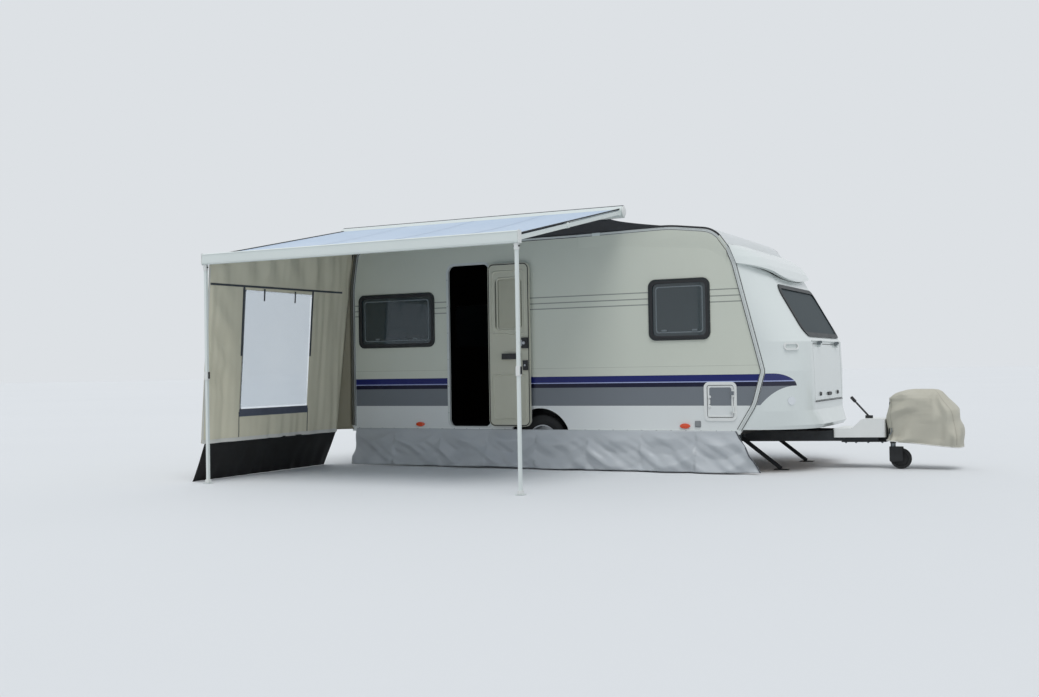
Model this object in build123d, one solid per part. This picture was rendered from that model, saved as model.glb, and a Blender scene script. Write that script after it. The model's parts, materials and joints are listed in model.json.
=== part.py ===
from build123d import *
import math
import os

# Touring caravan parked on its wheels, jockey wheel and corner steadies, with its roll-out awning set up.
# Millimetres. +X towards the coupling, -Y is the entry side, +Z up, ground at z = 0.
# While modelling, x = 0 is the rear wall's outer face and y = 0 the centre plane.

os.makedirs("parts", exist_ok=True)

# Body shell
HALF_W = 1150.0
WALL_T = 30.0
ROOF_T = 34.0
FLOOR_Z = 400.0
FLOOR_T = 40.0
SEAM = 0.3
RUNNING = 0.06

# Side profile of the body: x, z, corner radius, from the rear sill over the roof to the front sill
BODY_PROFILE = [
    (0.0, FLOOR_Z, 0.0),
    (0.0, 2120.0, 900.0),
    (75.0, 2592.0, 110.0),
    (3400.0, 2600.0, 4000.0),
    (4520.0, 2505.0, 420.0),
    (4722.0, 2372.0, 150.0),
    (4800.0, 2180.0, 500.0),
    (4890.0, 1820.0, 3000.0),
    (5084.0, 1050.0, 120.0),
    (4985.0, 700.0, 400.0),
    (4800.0, FLOOR_Z, 0.0),
]

# Front moulding, centre-plane stations: z, x of the front face
FRONT_STATIONS = [
    (450.0, 5512.0),
    (490.0, 5540.0),
    (640.0, 5474.0),
    (1050.0, 5464.0),
    (1350.0, 5452.0),
    (2200.0, 4972.0),
]
BROW_STATIONS = [
    (1985.0, 5098.0),
    (2060.0, 5086.0),
    (2150.0, 5046.0),
    (2240.0, 4975.0),
    (2320.0, 4868.0),
    (2368.0, 4765.0),
]
CORNER_R = 450.0
BROW_CENTRE_Z = 2035.0
BROW_SIDE_Z = 2165.0
BROW_PROUD = 26.0
SHELL_T = 26.0

# Trims
EDGE_TRIM_W = 52.0
EDGE_TRIM_T = 9.0
SILL_H = 50.0
SILL_T = 10.0

# Windows, to their frames' outer edges: wall, lower a, upper a, lower z, upper z
# (a is x on the sides and y on the rear)
WINDOWS = [
    ("right", 110.0, 1170.0, 1390.0, 2030.0),
    ("right", 3830.0, 4510.0, 1390.0, 2040.0),
    ("left", 110.0, 1170.0, 1390.0, 2030.0),
    ("left", 2050.0, 2850.0, 1500.0, 2040.0),
    ("left", 3650.0, 4510.0, 1390.0, 2040.0),
    ("rear", -560.0, 560.0, 1420.0, 2010.0),
]
WINDOW_R = 46.0
FRAME_OUT = 34.0
FRAME_LIP = 10.0
FRAME_T = 13.0
PANE_T = 5.0
FRONT_WINDOW = (760.0, 1440.0, 1930.0)
FRONT_WINDOW_R = 90.0

# Entry door, open flat against the wall
DOOR_X0 = 1370.0
DOOR_X1 = 1890.0
DOOR_Z0 = 470.0
DOOR_Z1 = 2310.0
DOOR_R = 70.0
DOOR_T = 35.0
DOOR_GAP = 8.0
DOOR_PROUD = 5.0
DOOR_FRAME_W = 16.0
DOOR_FRAME_LIP = 4.0
HINGE_STAND = 15.0
HINGE_ZS = (720.0, 2060.0)
KNUCKLE_R = 9.0
KNUCKLE_L = 40.0
HINGE_PIN_R = 4.0
DOOR_WINDOW = (90.0, 430.0, 1560.0, 2140.0)

# Service hatch in the entry-side wall
HATCH_X0 = 4464.0
HATCH_X1 = 4739.0
HATCH_Z0 = 579.0
HATCH_Z1 = 908.0
HATCH_R = 20.0
HATCH_GAP = 6.0
HATCH_FRAME_W = 32.0
HATCH_FRAME_T = 8.0
HATCH_T = 30.0

# Gas locker in the nose
LOCKER_HALF = 660.0
LOCKER_Z0 = 730.0
LOCKER_Z1 = 1330.0
LOCKER_GAP = 6.0
LOCKER_BULKHEAD_X = 5000.0
PANEL_T = 15.0

# Wheels and axle
WHEEL_X = 2520.0
WHEEL_Y = 1010.0
TYRE_R = 300.0
TYRE_W = 185.0
RIM_R = 186.0
ARCH_R = 372.0
BOX_T = 6.0
BOX_INNER_Y = 888.0
STUB_R = 20.0
AXLE_ARM = 170.0
AXLE_Z = 244.0
AXLE_R = 45.0
ARM_Y = 780.0
ARM_T = 34.0

# Chassis
RAIL_Y = 500.0
RAIL_W = 45.0
RAIL_H = 110.0
RAIL_X0 = 120.0
RAIL_X1 = 4500.0
SHEET_T = 5.0
DRAW_X1 = 6000.0
DRAW_Y1 = 100.0
CROSS_XS = (200.0, 1500.0, 3400.0, 4440.0)
CROSS_W = 50.0
CROSS_H = 60.0

# Overrun unit and coupling
HOUSING_X0 = 5880.0
HOUSING_X1 = 6330.0
HOUSING_HALF = 52.0
HOUSING_Z1 = 475.0
SHAFT_R = 30.0
SHAFT_Z = 425.0
COUPLING_X = 6650.0
BALL_R = 25.2
SOCKET_DEPTH = 36.0
SOCKET_Z = 400.0
HEAD_R = 46.0

# Jockey wheel
JOCKEY_X = 6152.0
JOCKEY_Y = -112.0
JOCKEY_TUBE_R = 30.0
JOCKEY_TUBE_T = 4.0
JOCKEY_TRAIL = 78.0
JOCKEY_WHEEL_R = 108.0
JOCKEY_WHEEL_W = 60.0
JOCKEY_TUBE_Z0 = 268.0
JOCKEY_TUBE_Z1 = 700.0
JOCKEY_LEG_Z0 = 232.0

# Corner steadies: pivot x, foot x, side of the caravan
STEADIES = [
    ("front_right", 4640.0, 5080.0, -1),
    ("front_left", 4640.0, 5080.0, 1),
    ("rear_right", 560.0, 120.0, -1),
    ("rear_left", 560.0, 120.0, 1),
]
STEADY_Y = 572.0
STEADY_Z = 345.0
STEADY_W = 46.0
STEADY_D = 34.0
STEADY_PIN_R = 8.0
STEADY_EYE_R = 22.0
FOOT_L = 150.0
FOOT_W = 90.0
FOOT_T = 8.0

# Awning
AWNING_X0 = -40.0
AWNING_X1 = 3580.0
AWNING_OUT = 2550.0
CASSETTE_Z0 = 2722.0
CASSETTE_Z1 = 2854.0
CASSETTE_DEPTH = 118.0
RAIL_Z0 = 2232.0
RAIL_Z1 = 2344.0
LEAD_RAIL_W = 60.0
LEG_W = 28.0
FABRIC_T = 4.0
ARM_W = 26.0
ARM_H = 42.0
PANEL_X = 12.0
CLOTH_CLEAR = 6.0
PANEL_HEM_Z = 400.0
PANEL_WINDOW = (690.0, 1900.0, 780.0, 2030.0)
FLAP_OUT = 160.0
SKIRT_TOP = 436.0
SKIRT_X0 = 60.0
SKIRT_X1 = 4830.0
SKIRT_OUT = 90.0

# Gas locker lid's hinge and the nose's lamps and grab mouldings
LID_AXIS_X = 5484.0
LID_AXIS_Z = LOCKER_Z1 - LOCKER_GAP / 2
LAMP_R = 42.0
LAMP_Z = 745.0
GRAB_Z = 1300.0
GRAB_HALF = 85.0
GRAB_H = 74.0

# Roof hatch and rear light bar
ROOF_TOP_Z = 2598.0
HATCH_TOP_X = 1500.0
LIGHT = 400.0
KERB_H = 24.0
LIGHT_LID_T = 30.0
LIGHT_GAP = 5.0
LIGHT_AXIS_Z = ROOF_TOP_Z + KERB_H + LIGHT_GAP + 7
LIGHT_AXIS_X = HATCH_TOP_X - LIGHT / 2 - 26 - 14
LIGHT_BAR = (-42.0, 452.0, 700.0)
SLOT_COUNT = 10

# Door and hatch hinge axes
DOOR_AXIS_X = DOOR_X1 + 11.0
DOOR_AXIS_Y = -HALF_W - HINGE_STAND
HATCH_AXIS_X = HATCH_X1 + HATCH_GAP / 2
HATCH_AXIS_Y = -HALF_W - HATCH_FRAME_T - KNUCKLE_R - 1

# Drawbar fittings
PLATE_T = 12.0
COVER_T = 4.0
LEG_TOP = 480.0

# Hitch cover, rows: z, rear x, front x, half width
HOOD_T = 8.0
HOOD_ROWS = [
    (222.0, 6096.0, 6836.0, 205.0),
    (450.0, 6096.0, 6836.0, 205.0),
    (620.0, 6100.0, 6780.0, 198.0),
    (740.0, 6104.0, 6690.0, 180.0),
    (832.3, 6310.0, 6600.0, 110.0),
]
HEM_REAR_Z = 298.0
HEM_FRONT_Z = 225.0


def block(x0, x1, y0, y1, z0, z1):
    """Box between two corners."""
    return Pos((x0 + x1) / 2, (y0 + y1) / 2, (z0 + z1) / 2) * Box(x1 - x0, y1 - y0, z1 - z0)


def outline(rows):
    """Closed face on XY from corners (a, b, radius), with an arc where the radius isn't zero."""
    turns = [(a[0] * b[1] - b[0] * a[1]) for a, b in zip(rows, rows[1:] + rows[:1])]
    if sum(turns) < 0:
        rows = rows[::-1]
    stops = []
    for i, (a, b, r) in enumerate(rows):
        here = Vector(a, b)
        if r == 0:
            stops.append((here, None, here))
            continue
        back = (Vector(*rows[i - 1][:2]) - here).normalized()
        ahead = (Vector(*rows[(i + 1) % len(rows)][:2]) - here).normalized()
        half = math.radians(back.get_angle(ahead)) / 2
        reach = r / math.tan(half)
        middle = here + (back + ahead).normalized() * (r / math.sin(half) - r)
        stops.append((here + back * reach, middle, here + ahead * reach))
    edges = []
    for i, (start, middle, end) in enumerate(stops):
        if middle is not None:
            edges.append(Edge.make_three_point_arc(start, middle, end))
        edges.append(Edge.make_line(end, stops[(i + 1) % len(stops)][0]))
    return Face(Wire(edges))


def side_slab(rows, y0, y1):
    """An x-z outline made solid between two y planes."""
    plane = Plane(origin=(0, y1, 0), x_dir=(1, 0, 0), z_dir=(0, -1, 0))
    return extrude(plane * outline(rows), y1 - y0)


def cross_slab(rows, x0, x1):
    """A y-z outline made solid between two x planes."""
    plane = Plane(origin=(x0, 0, 0), x_dir=(0, 1, 0), z_dir=(1, 0, 0))
    return extrude(plane * outline(rows), x1 - x0)


def plan_slab(rows, z0, z1):
    """An x-y outline made solid between two heights."""
    return extrude(Pos(0, 0, z0) * outline(rows), z1 - z0)


def rounded(a0, a1, b0, b1, r):
    """Corner rows of a rounded rectangle."""
    return [(a0, b0, r), (a1, b0, r), (a1, b1, r), (a0, b1, r)]


def rod(start, end, radius):
    """Cylinder between two points."""
    start = Vector(*start)
    span = Vector(*end) - start
    return Plane(origin=start, z_dir=span.normalized()) * Cylinder(
        radius, span.length, align=(Align.CENTER, Align.CENTER, Align.MIN))


def grown(rows, by):
    """The outline moved inwards or outwards by an even amount."""
    return offset(outline(rows), by, kind=Kind.INTERSECTION)


def edge_x(z):
    """x of the side wall's front edge at a height."""
    front = [(x, height) for x, height, r in BODY_PROFILE[4:]]
    for (xa, za), (xb, zb) in zip(front, front[1:]):
        if zb <= z <= za:
            return xa + (xb - xa) * (za - z) / (za - zb)
    return front[0][0]


def front_block(stations, grow):
    """Solid nose: plan sections with a flat front and rounded corners, joined station by station."""
    half = HALF_W + grow
    sections = []
    for z, front in stations:
        nose = front + grow
        depth = max(nose - edge_x(z), 12.0)
        flat = half - max(CORNER_R, depth)
        run = half - flat
        r = (depth ** 2 + run ** 2) / (2 * depth)
        bend = math.atan2(run, r - depth) / 2
        start = Vector(nose - depth, -half, z)
        middle = Vector(nose - r + r * math.cos(bend), -flat - r * math.sin(bend), z)
        end = Vector(nose, -flat, z)
        edges = [
            Edge.make_three_point_arc(start, middle, end),
            Edge.make_line(end, Vector(end.X, -end.Y, z)),
            Edge.make_three_point_arc(
                Vector(end.X, -end.Y, z), Vector(middle.X, -middle.Y, z), Vector(start.X, -start.Y, z)),
            Edge.make_line(Vector(start.X, -start.Y, z), Vector(4200, half, z)),
            Edge.make_line(Vector(4200, half, z), Vector(4200, -half, z)),
            Edge.make_line(Vector(4200, -half, z), start),
        ]
        sections.append(Wire(edges))
    return Solid.make_loft(sections, True)


def skin(stations, outer, inner):
    """The part of the nose between two offsets of its surface, ahead of the side walls' front edges."""
    shell = front_block(stations, outer) - front_block(stretched(stations), inner)
    return shell - Pos(SEAM, 0, 0) * side_slab(BODY_PROFILE, -HALF_W - 40, HALF_W + 40)


def stretched(stations):
    """The same stations carried 60 mm past both ends, so that a cutter leaves no floor or lid."""
    (z0, x0), (za, xa) = stations[0], stations[1]
    (z1, x1), (zb, xb) = stations[-1], stations[-2]
    low = (z0 - 60, x0 - (xa - x0) * 60 / (za - z0))
    high = (z1 + 60, max(x1 + (x1 - xb) * 60 / (z1 - zb), edge_x(z1)))
    return [low] + stations + [high]


def brow_cut():
    """Everything above the brow's lower edge, an arc that rises to both sides."""
    rise = BROW_SIDE_Z - BROW_CENTRE_Z
    r = (HALF_W ** 2 + rise ** 2) / (2 * rise)
    tall = block(4200, 5600, -HALF_W - 60, HALF_W + 60, BROW_CENTRE_Z - 40, 2900)
    return tall & (Pos(4900, 0, BROW_CENTRE_Z + r) * Rot(0, 90, 0) * Cylinder(r, 1600))


pieces = {}

# Side walls, rear wall and roof follow one profile
side_walls = {
    "right": side_slab(BODY_PROFILE, -HALF_W, -HALF_W + WALL_T),
    "left": side_slab(BODY_PROFILE, HALF_W - WALL_T, HALF_W),
}
inside_y = HALF_W - WALL_T
full_face = outline(BODY_PROFILE)
inner_face = grown(BODY_PROFILE, -ROOF_T)
band_plane = Plane(origin=(0, inside_y - SEAM, 0), x_dir=(1, 0, 0), z_dir=(0, -1, 0))
band = extrude(band_plane * (full_face - inner_face), 2 * (inside_y - SEAM))
roof_end_x = BODY_PROFILE[5][0] - 8.0
roof_front = block(200, roof_end_x, -HALF_W, HALF_W, 2300, 2900)
roof_rear_x = 200.0
rear_part = block(-60, roof_rear_x - SEAM, -HALF_W, HALF_W, FLOOR_Z - 60, 2900)
roof = band & roof_front
rear_wall = band & rear_part
rear_wall -= block(ROOF_T - SEAM, 400, -HALF_W, HALF_W, FLOOR_Z - 60, FLOOR_Z + FLOOR_T + SEAM)

# Floor with round cut-outs for the wheel boxes
floor_x1 = 4800.0
floor = block(ROOF_T + SEAM, floor_x1, -inside_y + SEAM, inside_y - SEAM, FLOOR_Z, FLOOR_Z + FLOOR_T)
wheel_boxes = []
for side in (-1, 1):
    centre = Pos(WHEEL_X, 0, TYRE_R) * Rot(90, 0, 0)
    width = inside_y - BOX_INNER_Y
    seat = Pos(0, side * (BOX_INNER_Y + width / 2), 0)
    floor -= seat * centre * Cylinder(ARCH_R + BOX_T + SEAM, width + 2 * SEAM)
    tub = seat * centre * Cylinder(ARCH_R + BOX_T, width - SEAM)
    tub -= Pos(0, side * BOX_T, 0) * seat * centre * Cylinder(ARCH_R, width)
    tub -= block(WHEEL_X - 500, WHEEL_X + 500, -HALF_W, HALF_W, -200, FLOOR_Z)
    wheel_boxes.append(tub)
    name = "right" if side < 0 else "left"
    side_walls[name] -= Pos(0, side * HALF_W, 0) * centre * Cylinder(ARCH_R, 4 * WALL_T)
pieces["floor_panel"] = floor
pieces["wheel_boxes"] = Compound(wheel_boxes)

# Windows: a proud frame with a lip, and a pane just behind the lip
frames = []
panes = []
for where, a0, a1, z0, z1 in WINDOWS:
    if where == "rear":
        plane = Plane(origin=(0, 0, 0), x_dir=(0, -1, 0), z_dir=(-1, 0, 0))
        hole_depth = ROOF_T
    else:
        sign = -1 if where == "right" else 1
        plane = Plane(origin=(0, sign * HALF_W, 0), x_dir=(-sign, 0, 0), z_dir=(0, sign, 0))
        hole_depth = WALL_T
        if sign > 0:
            a0, a1 = -a1, -a0
    hole = rounded(a0 + FRAME_OUT, a1 - FRAME_OUT, z0 + FRAME_OUT, z1 - FRAME_OUT, WINDOW_R)
    cutter = plane * (Pos(0, 0, -hole_depth - 5) * extrude(outline(hole), hole_depth + 10))
    ring = grown(hole, FRAME_OUT) - grown(hole, -FRAME_LIP)
    frames.append(plane * extrude(ring, FRAME_T))
    pane = extrude(grown(hole, -SEAM), PANE_T)
    panes.append(plane * (Pos(0, 0, -PANE_T - SEAM) * pane))
    if where == "rear":
        rear_wall -= cutter
    else:
        side_walls[where] -= cutter

# Nose moulding with its window, locker opening and lamp seats
above_brow = brow_cut()
shell = skin(FRONT_STATIONS, 0, -SHELL_T) - above_brow
brow = skin(BROW_STATIONS, BROW_PROUD, BROW_PROUD - SHELL_T - 20) & above_brow
half, z0, z1 = FRONT_WINDOW
hole = rounded(-half, half, z0, z1, FRONT_WINDOW_R)
nose_x0 = 4700.0
nose_x1 = 5700.0
shell -= cross_slab(hole, nose_x0, nose_x1)
ring_plane = Plane(origin=(nose_x0, 0, 0), x_dir=(0, 1, 0), z_dir=(1, 0, 0))
ring = grown(hole, FRAME_OUT) - grown(hole, -FRAME_LIP)
ring = ring_plane * extrude(ring, nose_x1 - nose_x0)
frames.append(skin(FRONT_STATIONS, FRAME_T, SEAM) & ring)
pane = ring_plane * extrude(grown(hole, -SEAM), nose_x1 - nose_x0)
panes.append(skin(FRONT_STATIONS, -SEAM, -SEAM - PANE_T - 2) & pane)

# Gas locker lid, cut from the same moulding, hinged at its top edge
shell -= block(5200, nose_x1, -LOCKER_HALF, LOCKER_HALF, LOCKER_Z0, LOCKER_Z1)
lid_cut = block(5200, nose_x1, -LOCKER_HALF + LOCKER_GAP, LOCKER_HALF - LOCKER_GAP,
                LOCKER_Z0 + LOCKER_GAP, LOCKER_Z1 - LOCKER_GAP)
lid = skin(FRONT_STATIONS, 0, -SHELL_T) & lid_cut
lid_pins = []
for y in (-420.0, 420.0):
    eye = Pos(LID_AXIS_X, y, LID_AXIS_Z) * Rot(90, 0, 0) * Cylinder(KNUCKLE_R, KNUCKLE_L)
    strap = block(5440, LID_AXIS_X, y - KNUCKLE_L / 2, y + KNUCKLE_L / 2, LID_AXIS_Z - 34, LID_AXIS_Z - 4)
    lid += eye
    lid += strap - front_block(stretched(FRONT_STATIONS), -2.0)
    lid -= Pos(LID_AXIS_X, y, LID_AXIS_Z) * Rot(90, 0, 0) * Cylinder(HINGE_PIN_R + RUNNING, KNUCKLE_L + 4)
    pin = Pos(LID_AXIS_X, y, LID_AXIS_Z) * Rot(90, 0, 0) * Cylinder(HINGE_PIN_R, KNUCKLE_L + 24)
    bracket = pin
    for end in (-1, 1):
        ear_y = y + end * (KNUCKLE_L / 2 + 8)
        ear = block(5430, LID_AXIS_X + 7, ear_y - 5, ear_y + 5, LID_AXIS_Z - 7, LID_AXIS_Z + 34)
        bracket += ear - front_block(stretched(FRONT_STATIONS), SEAM)
    lid_pins.append(bracket)
pieces["gas_locker_lid"] = lid

# Locker floor, bulkhead and shelf behind the lid
inner_nose = front_block(stretched(FRONT_STATIONS), -SHELL_T - SEAM)
locker = inner_nose & block(floor_x1 + SEAM, 5700, -HALF_W, HALF_W, 452, 452 + PANEL_T)
locker += inner_nose & block(LOCKER_BULKHEAD_X - PANEL_T, LOCKER_BULKHEAD_X,
                             -HALF_W, HALF_W, 452, 1360)
locker += inner_nose & block(LOCKER_BULKHEAD_X - PANEL_T, 5700, -HALF_W, HALF_W,
                             1360 - PANEL_T, 1360)
locker -= side_slab(BODY_PROFILE, -HALF_W - 5, -inside_y + SEAM)
locker -= side_slab(BODY_PROFILE, inside_y - SEAM, HALF_W + 5)
pieces["gas_locker_box"] = locker

# Front corner lamps and grab mouldings at 45 degrees on the nose's corners
lamps = []
grabs = []
for side in (-1, 1):
    corner = Plane(origin=(4985, side * 690, LAMP_Z), x_dir=(-side * 1, 1, 0), z_dir=(1, side * 1, 0))
    drill = corner * Cylinder(LAMP_R + SEAM, 1400)
    shell -= drill
    lens = corner * Cylinder(LAMP_R, 1400)
    lamps.append(lens & skin(FRONT_STATIONS, 6, -SHELL_T - 6))
    oval = rounded(-GRAB_HALF, GRAB_HALF, -GRAB_H / 2, GRAB_H / 2, GRAB_H / 2 - 1)
    spot = Plane(origin=(4985, side * 690, GRAB_Z), x_dir=(-side * 1, 1, 0), z_dir=(1, side * 1, 0))
    prism = spot * extrude(outline(oval) - grown(oval, -14), 1400)
    grabs.append(skin(FRONT_STATIONS, 14, SEAM) & prism)
pieces["front_shell"] = shell
pieces["front_brow"] = brow

# Edge and sill trims on both sides
trim_band = outline(BODY_PROFILE) - grown(BODY_PROFILE, -EDGE_TRIM_W)
trims = []
for side in (-1, 1):
    base = side * HALF_W
    low, high = sorted((base, base + side * EDGE_TRIM_T))
    plane = Plane(origin=(0, high, 0), x_dir=(1, 0, 0), z_dir=(0, -1, 0))
    trim = extrude(plane * trim_band, high - low)
    trim -= block(-50, 6000, -HALF_W - 50, HALF_W + 50, FLOOR_Z - 50, FLOOR_Z + EDGE_TRIM_W + 2)
    low, high = sorted((base, base + side * SILL_T))
    sill = block(0, 4840, low, high, FLOOR_Z, FLOOR_Z + SILL_H)
    sill &= side_slab(BODY_PROFILE, -HALF_W - 50, HALF_W + 50)
    sill -= Pos(WHEEL_X, base, TYRE_R) * Rot(90, 0, 0) * Cylinder(ARCH_R, 60)
    trims.append(trim)
    trims += sill.solids()
pieces["body_trims"] = Compound(trims)

# Entry door opening, frame and leaf
door_hole = rounded(DOOR_X0 - DOOR_GAP - DOOR_FRAME_W, DOOR_X1 + DOOR_GAP + DOOR_FRAME_W,
                    DOOR_Z0 - DOOR_GAP - DOOR_FRAME_W, DOOR_Z1 + DOOR_GAP + DOOR_FRAME_W,
                    DOOR_R + DOOR_GAP + DOOR_FRAME_W)
side_walls["right"] -= side_slab(door_hole, -HALF_W - 5, -inside_y + 5)
door_clear = rounded(DOOR_X0 - DOOR_GAP, DOOR_X1 + DOOR_GAP, DOOR_Z0 - DOOR_GAP, DOOR_Z1 + DOOR_GAP,
                     DOOR_R + DOOR_GAP)
frame_plane = Plane(origin=(0, -inside_y, 0), x_dir=(1, 0, 0), z_dir=(0, -1, 0))
door_frame = extrude(frame_plane * (grown(door_hole, -SEAM) - outline(door_clear)), WALL_T)
door_frame += Pos(0, -WALL_T, 0) * extrude(
    frame_plane * (grown(door_hole, 12) - outline(door_clear)), DOOR_FRAME_LIP)
door_frame = door_frame - block(0, 6000, -HALF_W - 50, -HALF_W, 0, FLOOR_Z + SILL_H + SEAM)
door_rows = rounded(DOOR_X0, DOOR_X1, DOOR_Z0, DOOR_Z1, DOOR_R)
leaf_outer_y = -HALF_W - DOOR_PROUD
leaf = side_slab(door_rows, leaf_outer_y, leaf_outer_y + DOOR_T)
wx0, wx1, wz0, wz1 = DOOR_WINDOW
door_window = rounded(DOOR_X0 + wx0, DOOR_X0 + wx1, wz0, wz1, 50)
leaf -= side_slab(door_window, leaf_outer_y - 5, leaf_outer_y + DOOR_T + 5)
door_pane = side_slab(rounded(DOOR_X0 + wx0 + SEAM, DOOR_X0 + wx1 - SEAM, wz0 + SEAM, wz1 - SEAM, 50),
                      leaf_outer_y + 8, leaf_outer_y + 14)
hinge_parts = []
for z in HINGE_ZS:
    axis = Pos(DOOR_AXIS_X, DOOR_AXIS_Y, z)
    leaf += axis * Cylinder(KNUCKLE_R, KNUCKLE_L)
    low, high = z - KNUCKLE_L / 2, z + KNUCKLE_L / 2
    leaf += block(DOOR_X1 - 45, DOOR_X1 - 4, DOOR_AXIS_Y + 1, leaf_outer_y, low, high)
    leaf += block(DOOR_X1 - 6, DOOR_AXIS_X, DOOR_AXIS_Y - 5, DOOR_AXIS_Y + 5, low, high)
    leaf -= axis * Cylinder(HINGE_PIN_R + RUNNING, KNUCKLE_L + 4)
    hinge = axis * Cylinder(HINGE_PIN_R, KNUCKLE_L + 30)
    for end in (-1, 1):
        knuckle_z = z + end * (KNUCKLE_L / 2 + 9)
        hinge += Pos(DOOR_AXIS_X, DOOR_AXIS_Y, knuckle_z) * Cylinder(KNUCKLE_R, 16)
        hinge += block(DOOR_AXIS_X - 2, DOOR_AXIS_X + KNUCKLE_R, DOOR_AXIS_Y, -HALF_W - DOOR_FRAME_LIP,
                       knuckle_z - 8, knuckle_z + 8)
    hinge_parts.append(hinge)
pieces["door_frame"] = door_frame
pieces["hinge_brackets"] = Compound(hinge_parts + lid_pins)
inner_y = leaf_outer_y + DOOR_T
fittings = [
    block(DOOR_X0 + 14, DOOR_X0 + 92, inner_y, inner_y + 24, 1345, 1465),
    block(DOOR_X0 + 22, DOOR_X0 + 78, inner_y, inner_y + 20, 1100, 1210),
    block(DOOR_X0 + 120, DOOR_X0 + 330, inner_y, inner_y + 46, 1225, 1290)
    - block(DOOR_X0 + 126, DOOR_X0 + 324, inner_y + 6, inner_y + 40, 1231, 1295),
]
swing = Pos(DOOR_AXIS_X, DOOR_AXIS_Y, 0) * Rot(0, 0, 180) * Pos(-DOOR_AXIS_X, -DOOR_AXIS_Y, 0)
pieces["entry_door_leaf"] = swing * leaf
pieces["entry_door_pane"] = swing * door_pane
pieces["entry_door_fittings"] = swing * Compound(fittings)

# Service hatch with its frame, hinged on its front edge
hatch_rows = rounded(HATCH_X0, HATCH_X1, HATCH_Z0, HATCH_Z1, HATCH_R)
hatch_hole = rounded(HATCH_X0 - HATCH_GAP, HATCH_X1 + HATCH_GAP, HATCH_Z0 - HATCH_GAP,
                     HATCH_Z1 + HATCH_GAP, HATCH_R + HATCH_GAP)
side_walls["right"] -= side_slab(hatch_hole, -HALF_W - 5, -inside_y + 5)
hatch = side_slab(hatch_rows, -HALF_W - 2, -HALF_W - 2 + HATCH_T)
hatch_frame_plane = Plane(origin=(0, -HALF_W, 0), x_dir=(1, 0, 0), z_dir=(0, -1, 0))
hatch_frame = extrude(hatch_frame_plane * (grown(hatch_hole, HATCH_FRAME_W) - outline(hatch_hole)),
                      HATCH_FRAME_T)
for z in (HATCH_Z0 + 80, HATCH_Z1 - 80):
    axis = Pos(HATCH_AXIS_X, HATCH_AXIS_Y, z)
    hatch += axis * Cylinder(KNUCKLE_R, KNUCKLE_L)
    hatch += block(HATCH_X1 - 30, HATCH_AXIS_X, HATCH_AXIS_Y - 2, -HALF_W - 2, z - 20, z + 20)
    hatch -= axis * Cylinder(HINGE_PIN_R + RUNNING, KNUCKLE_L + 4)
    hatch_frame += axis * Cylinder(HINGE_PIN_R, KNUCKLE_L + 30)
    for end in (-1, 1):
        knuckle_z = z + end * (KNUCKLE_L / 2 + 9)
        hatch_frame += Pos(HATCH_AXIS_X, HATCH_AXIS_Y, knuckle_z) * Cylinder(KNUCKLE_R, 16)
        hatch_frame += block(HATCH_X1 + HATCH_GAP, HATCH_X1 + HATCH_GAP + 14, HATCH_AXIS_Y - 2,
                             -HALF_W - HATCH_FRAME_T + 1, knuckle_z - 8, knuckle_z + 8)
pieces["service_hatch"] = hatch
pieces["service_hatch_frame"] = hatch_frame
pieces["side_wall_right"] = side_walls["right"]
pieces["side_wall_left"] = side_walls["left"]

# Roof hatch with its kerb, and a round vent
light_hole = block(HATCH_TOP_X - LIGHT / 2, HATCH_TOP_X + LIGHT / 2, -LIGHT / 2, LIGHT / 2, 2500, 2700)
roof -= light_hole
kerb = block(HATCH_TOP_X - LIGHT / 2 - 26, HATCH_TOP_X + LIGHT / 2 + 26, -LIGHT / 2 - 26, LIGHT / 2 + 26,
             2560, ROOF_TOP_Z + KERB_H)
kerb -= light_hole
kerb -= side_slab(BODY_PROFILE, -HALF_W, HALF_W)
lid_z0 = ROOF_TOP_Z + KERB_H + LIGHT_GAP
roof_lid = block(HATCH_TOP_X - LIGHT / 2 - 22, HATCH_TOP_X + LIGHT / 2 + 22, -LIGHT / 2 - 22,
                 LIGHT / 2 + 22, lid_z0, lid_z0 + LIGHT_LID_T)
roof_lid = chamfer(roof_lid.faces().sort_by(Axis.Z)[-1].edges(), 14)
for y in (-120.0, 120.0):
    axis = Pos(LIGHT_AXIS_X, y, LIGHT_AXIS_Z) * Rot(90, 0, 0)
    roof_lid += axis * Cylinder(7, KNUCKLE_L)
    roof_lid += block(LIGHT_AXIS_X, LIGHT_AXIS_X + 24, y - 20, y + 20, LIGHT_AXIS_Z - 4, LIGHT_AXIS_Z + 6)
    roof_lid -= axis * Cylinder(HINGE_PIN_R + RUNNING, KNUCKLE_L + 4)
    kerb += axis * Cylinder(HINGE_PIN_R, KNUCKLE_L + 24)
    for end in (-1, 1):
        ear_y = y + end * (KNUCKLE_L / 2 + 8)
        kerb += block(LIGHT_AXIS_X - 6, LIGHT_AXIS_X + 6, ear_y - 5, ear_y + 5,
                      ROOF_TOP_Z + 10, LIGHT_AXIS_Z + 5)
        kerb += block(LIGHT_AXIS_X, HATCH_TOP_X - LIGHT / 2 - 20, ear_y - 5, ear_y + 5,
                      ROOF_TOP_Z + 10, ROOF_TOP_Z + KERB_H)
pieces["roof_panel"] = roof
pieces["roof_hatch"] = roof_lid
pieces["rear_wall"] = rear_wall
vent = Pos(2900, 450, 2640) * Cylinder(70, 90) + Pos(2900, 450, 2690) * Cylinder(95, 24)
vent -= side_slab(BODY_PROFILE, -HALF_W, HALF_W)
pieces["roof_fittings"] = Compound(kerb.solids() + vent.solids())
pieces["window_frames"] = Compound(frames)
pieces["window_panes"] = Compound(panes)

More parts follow.
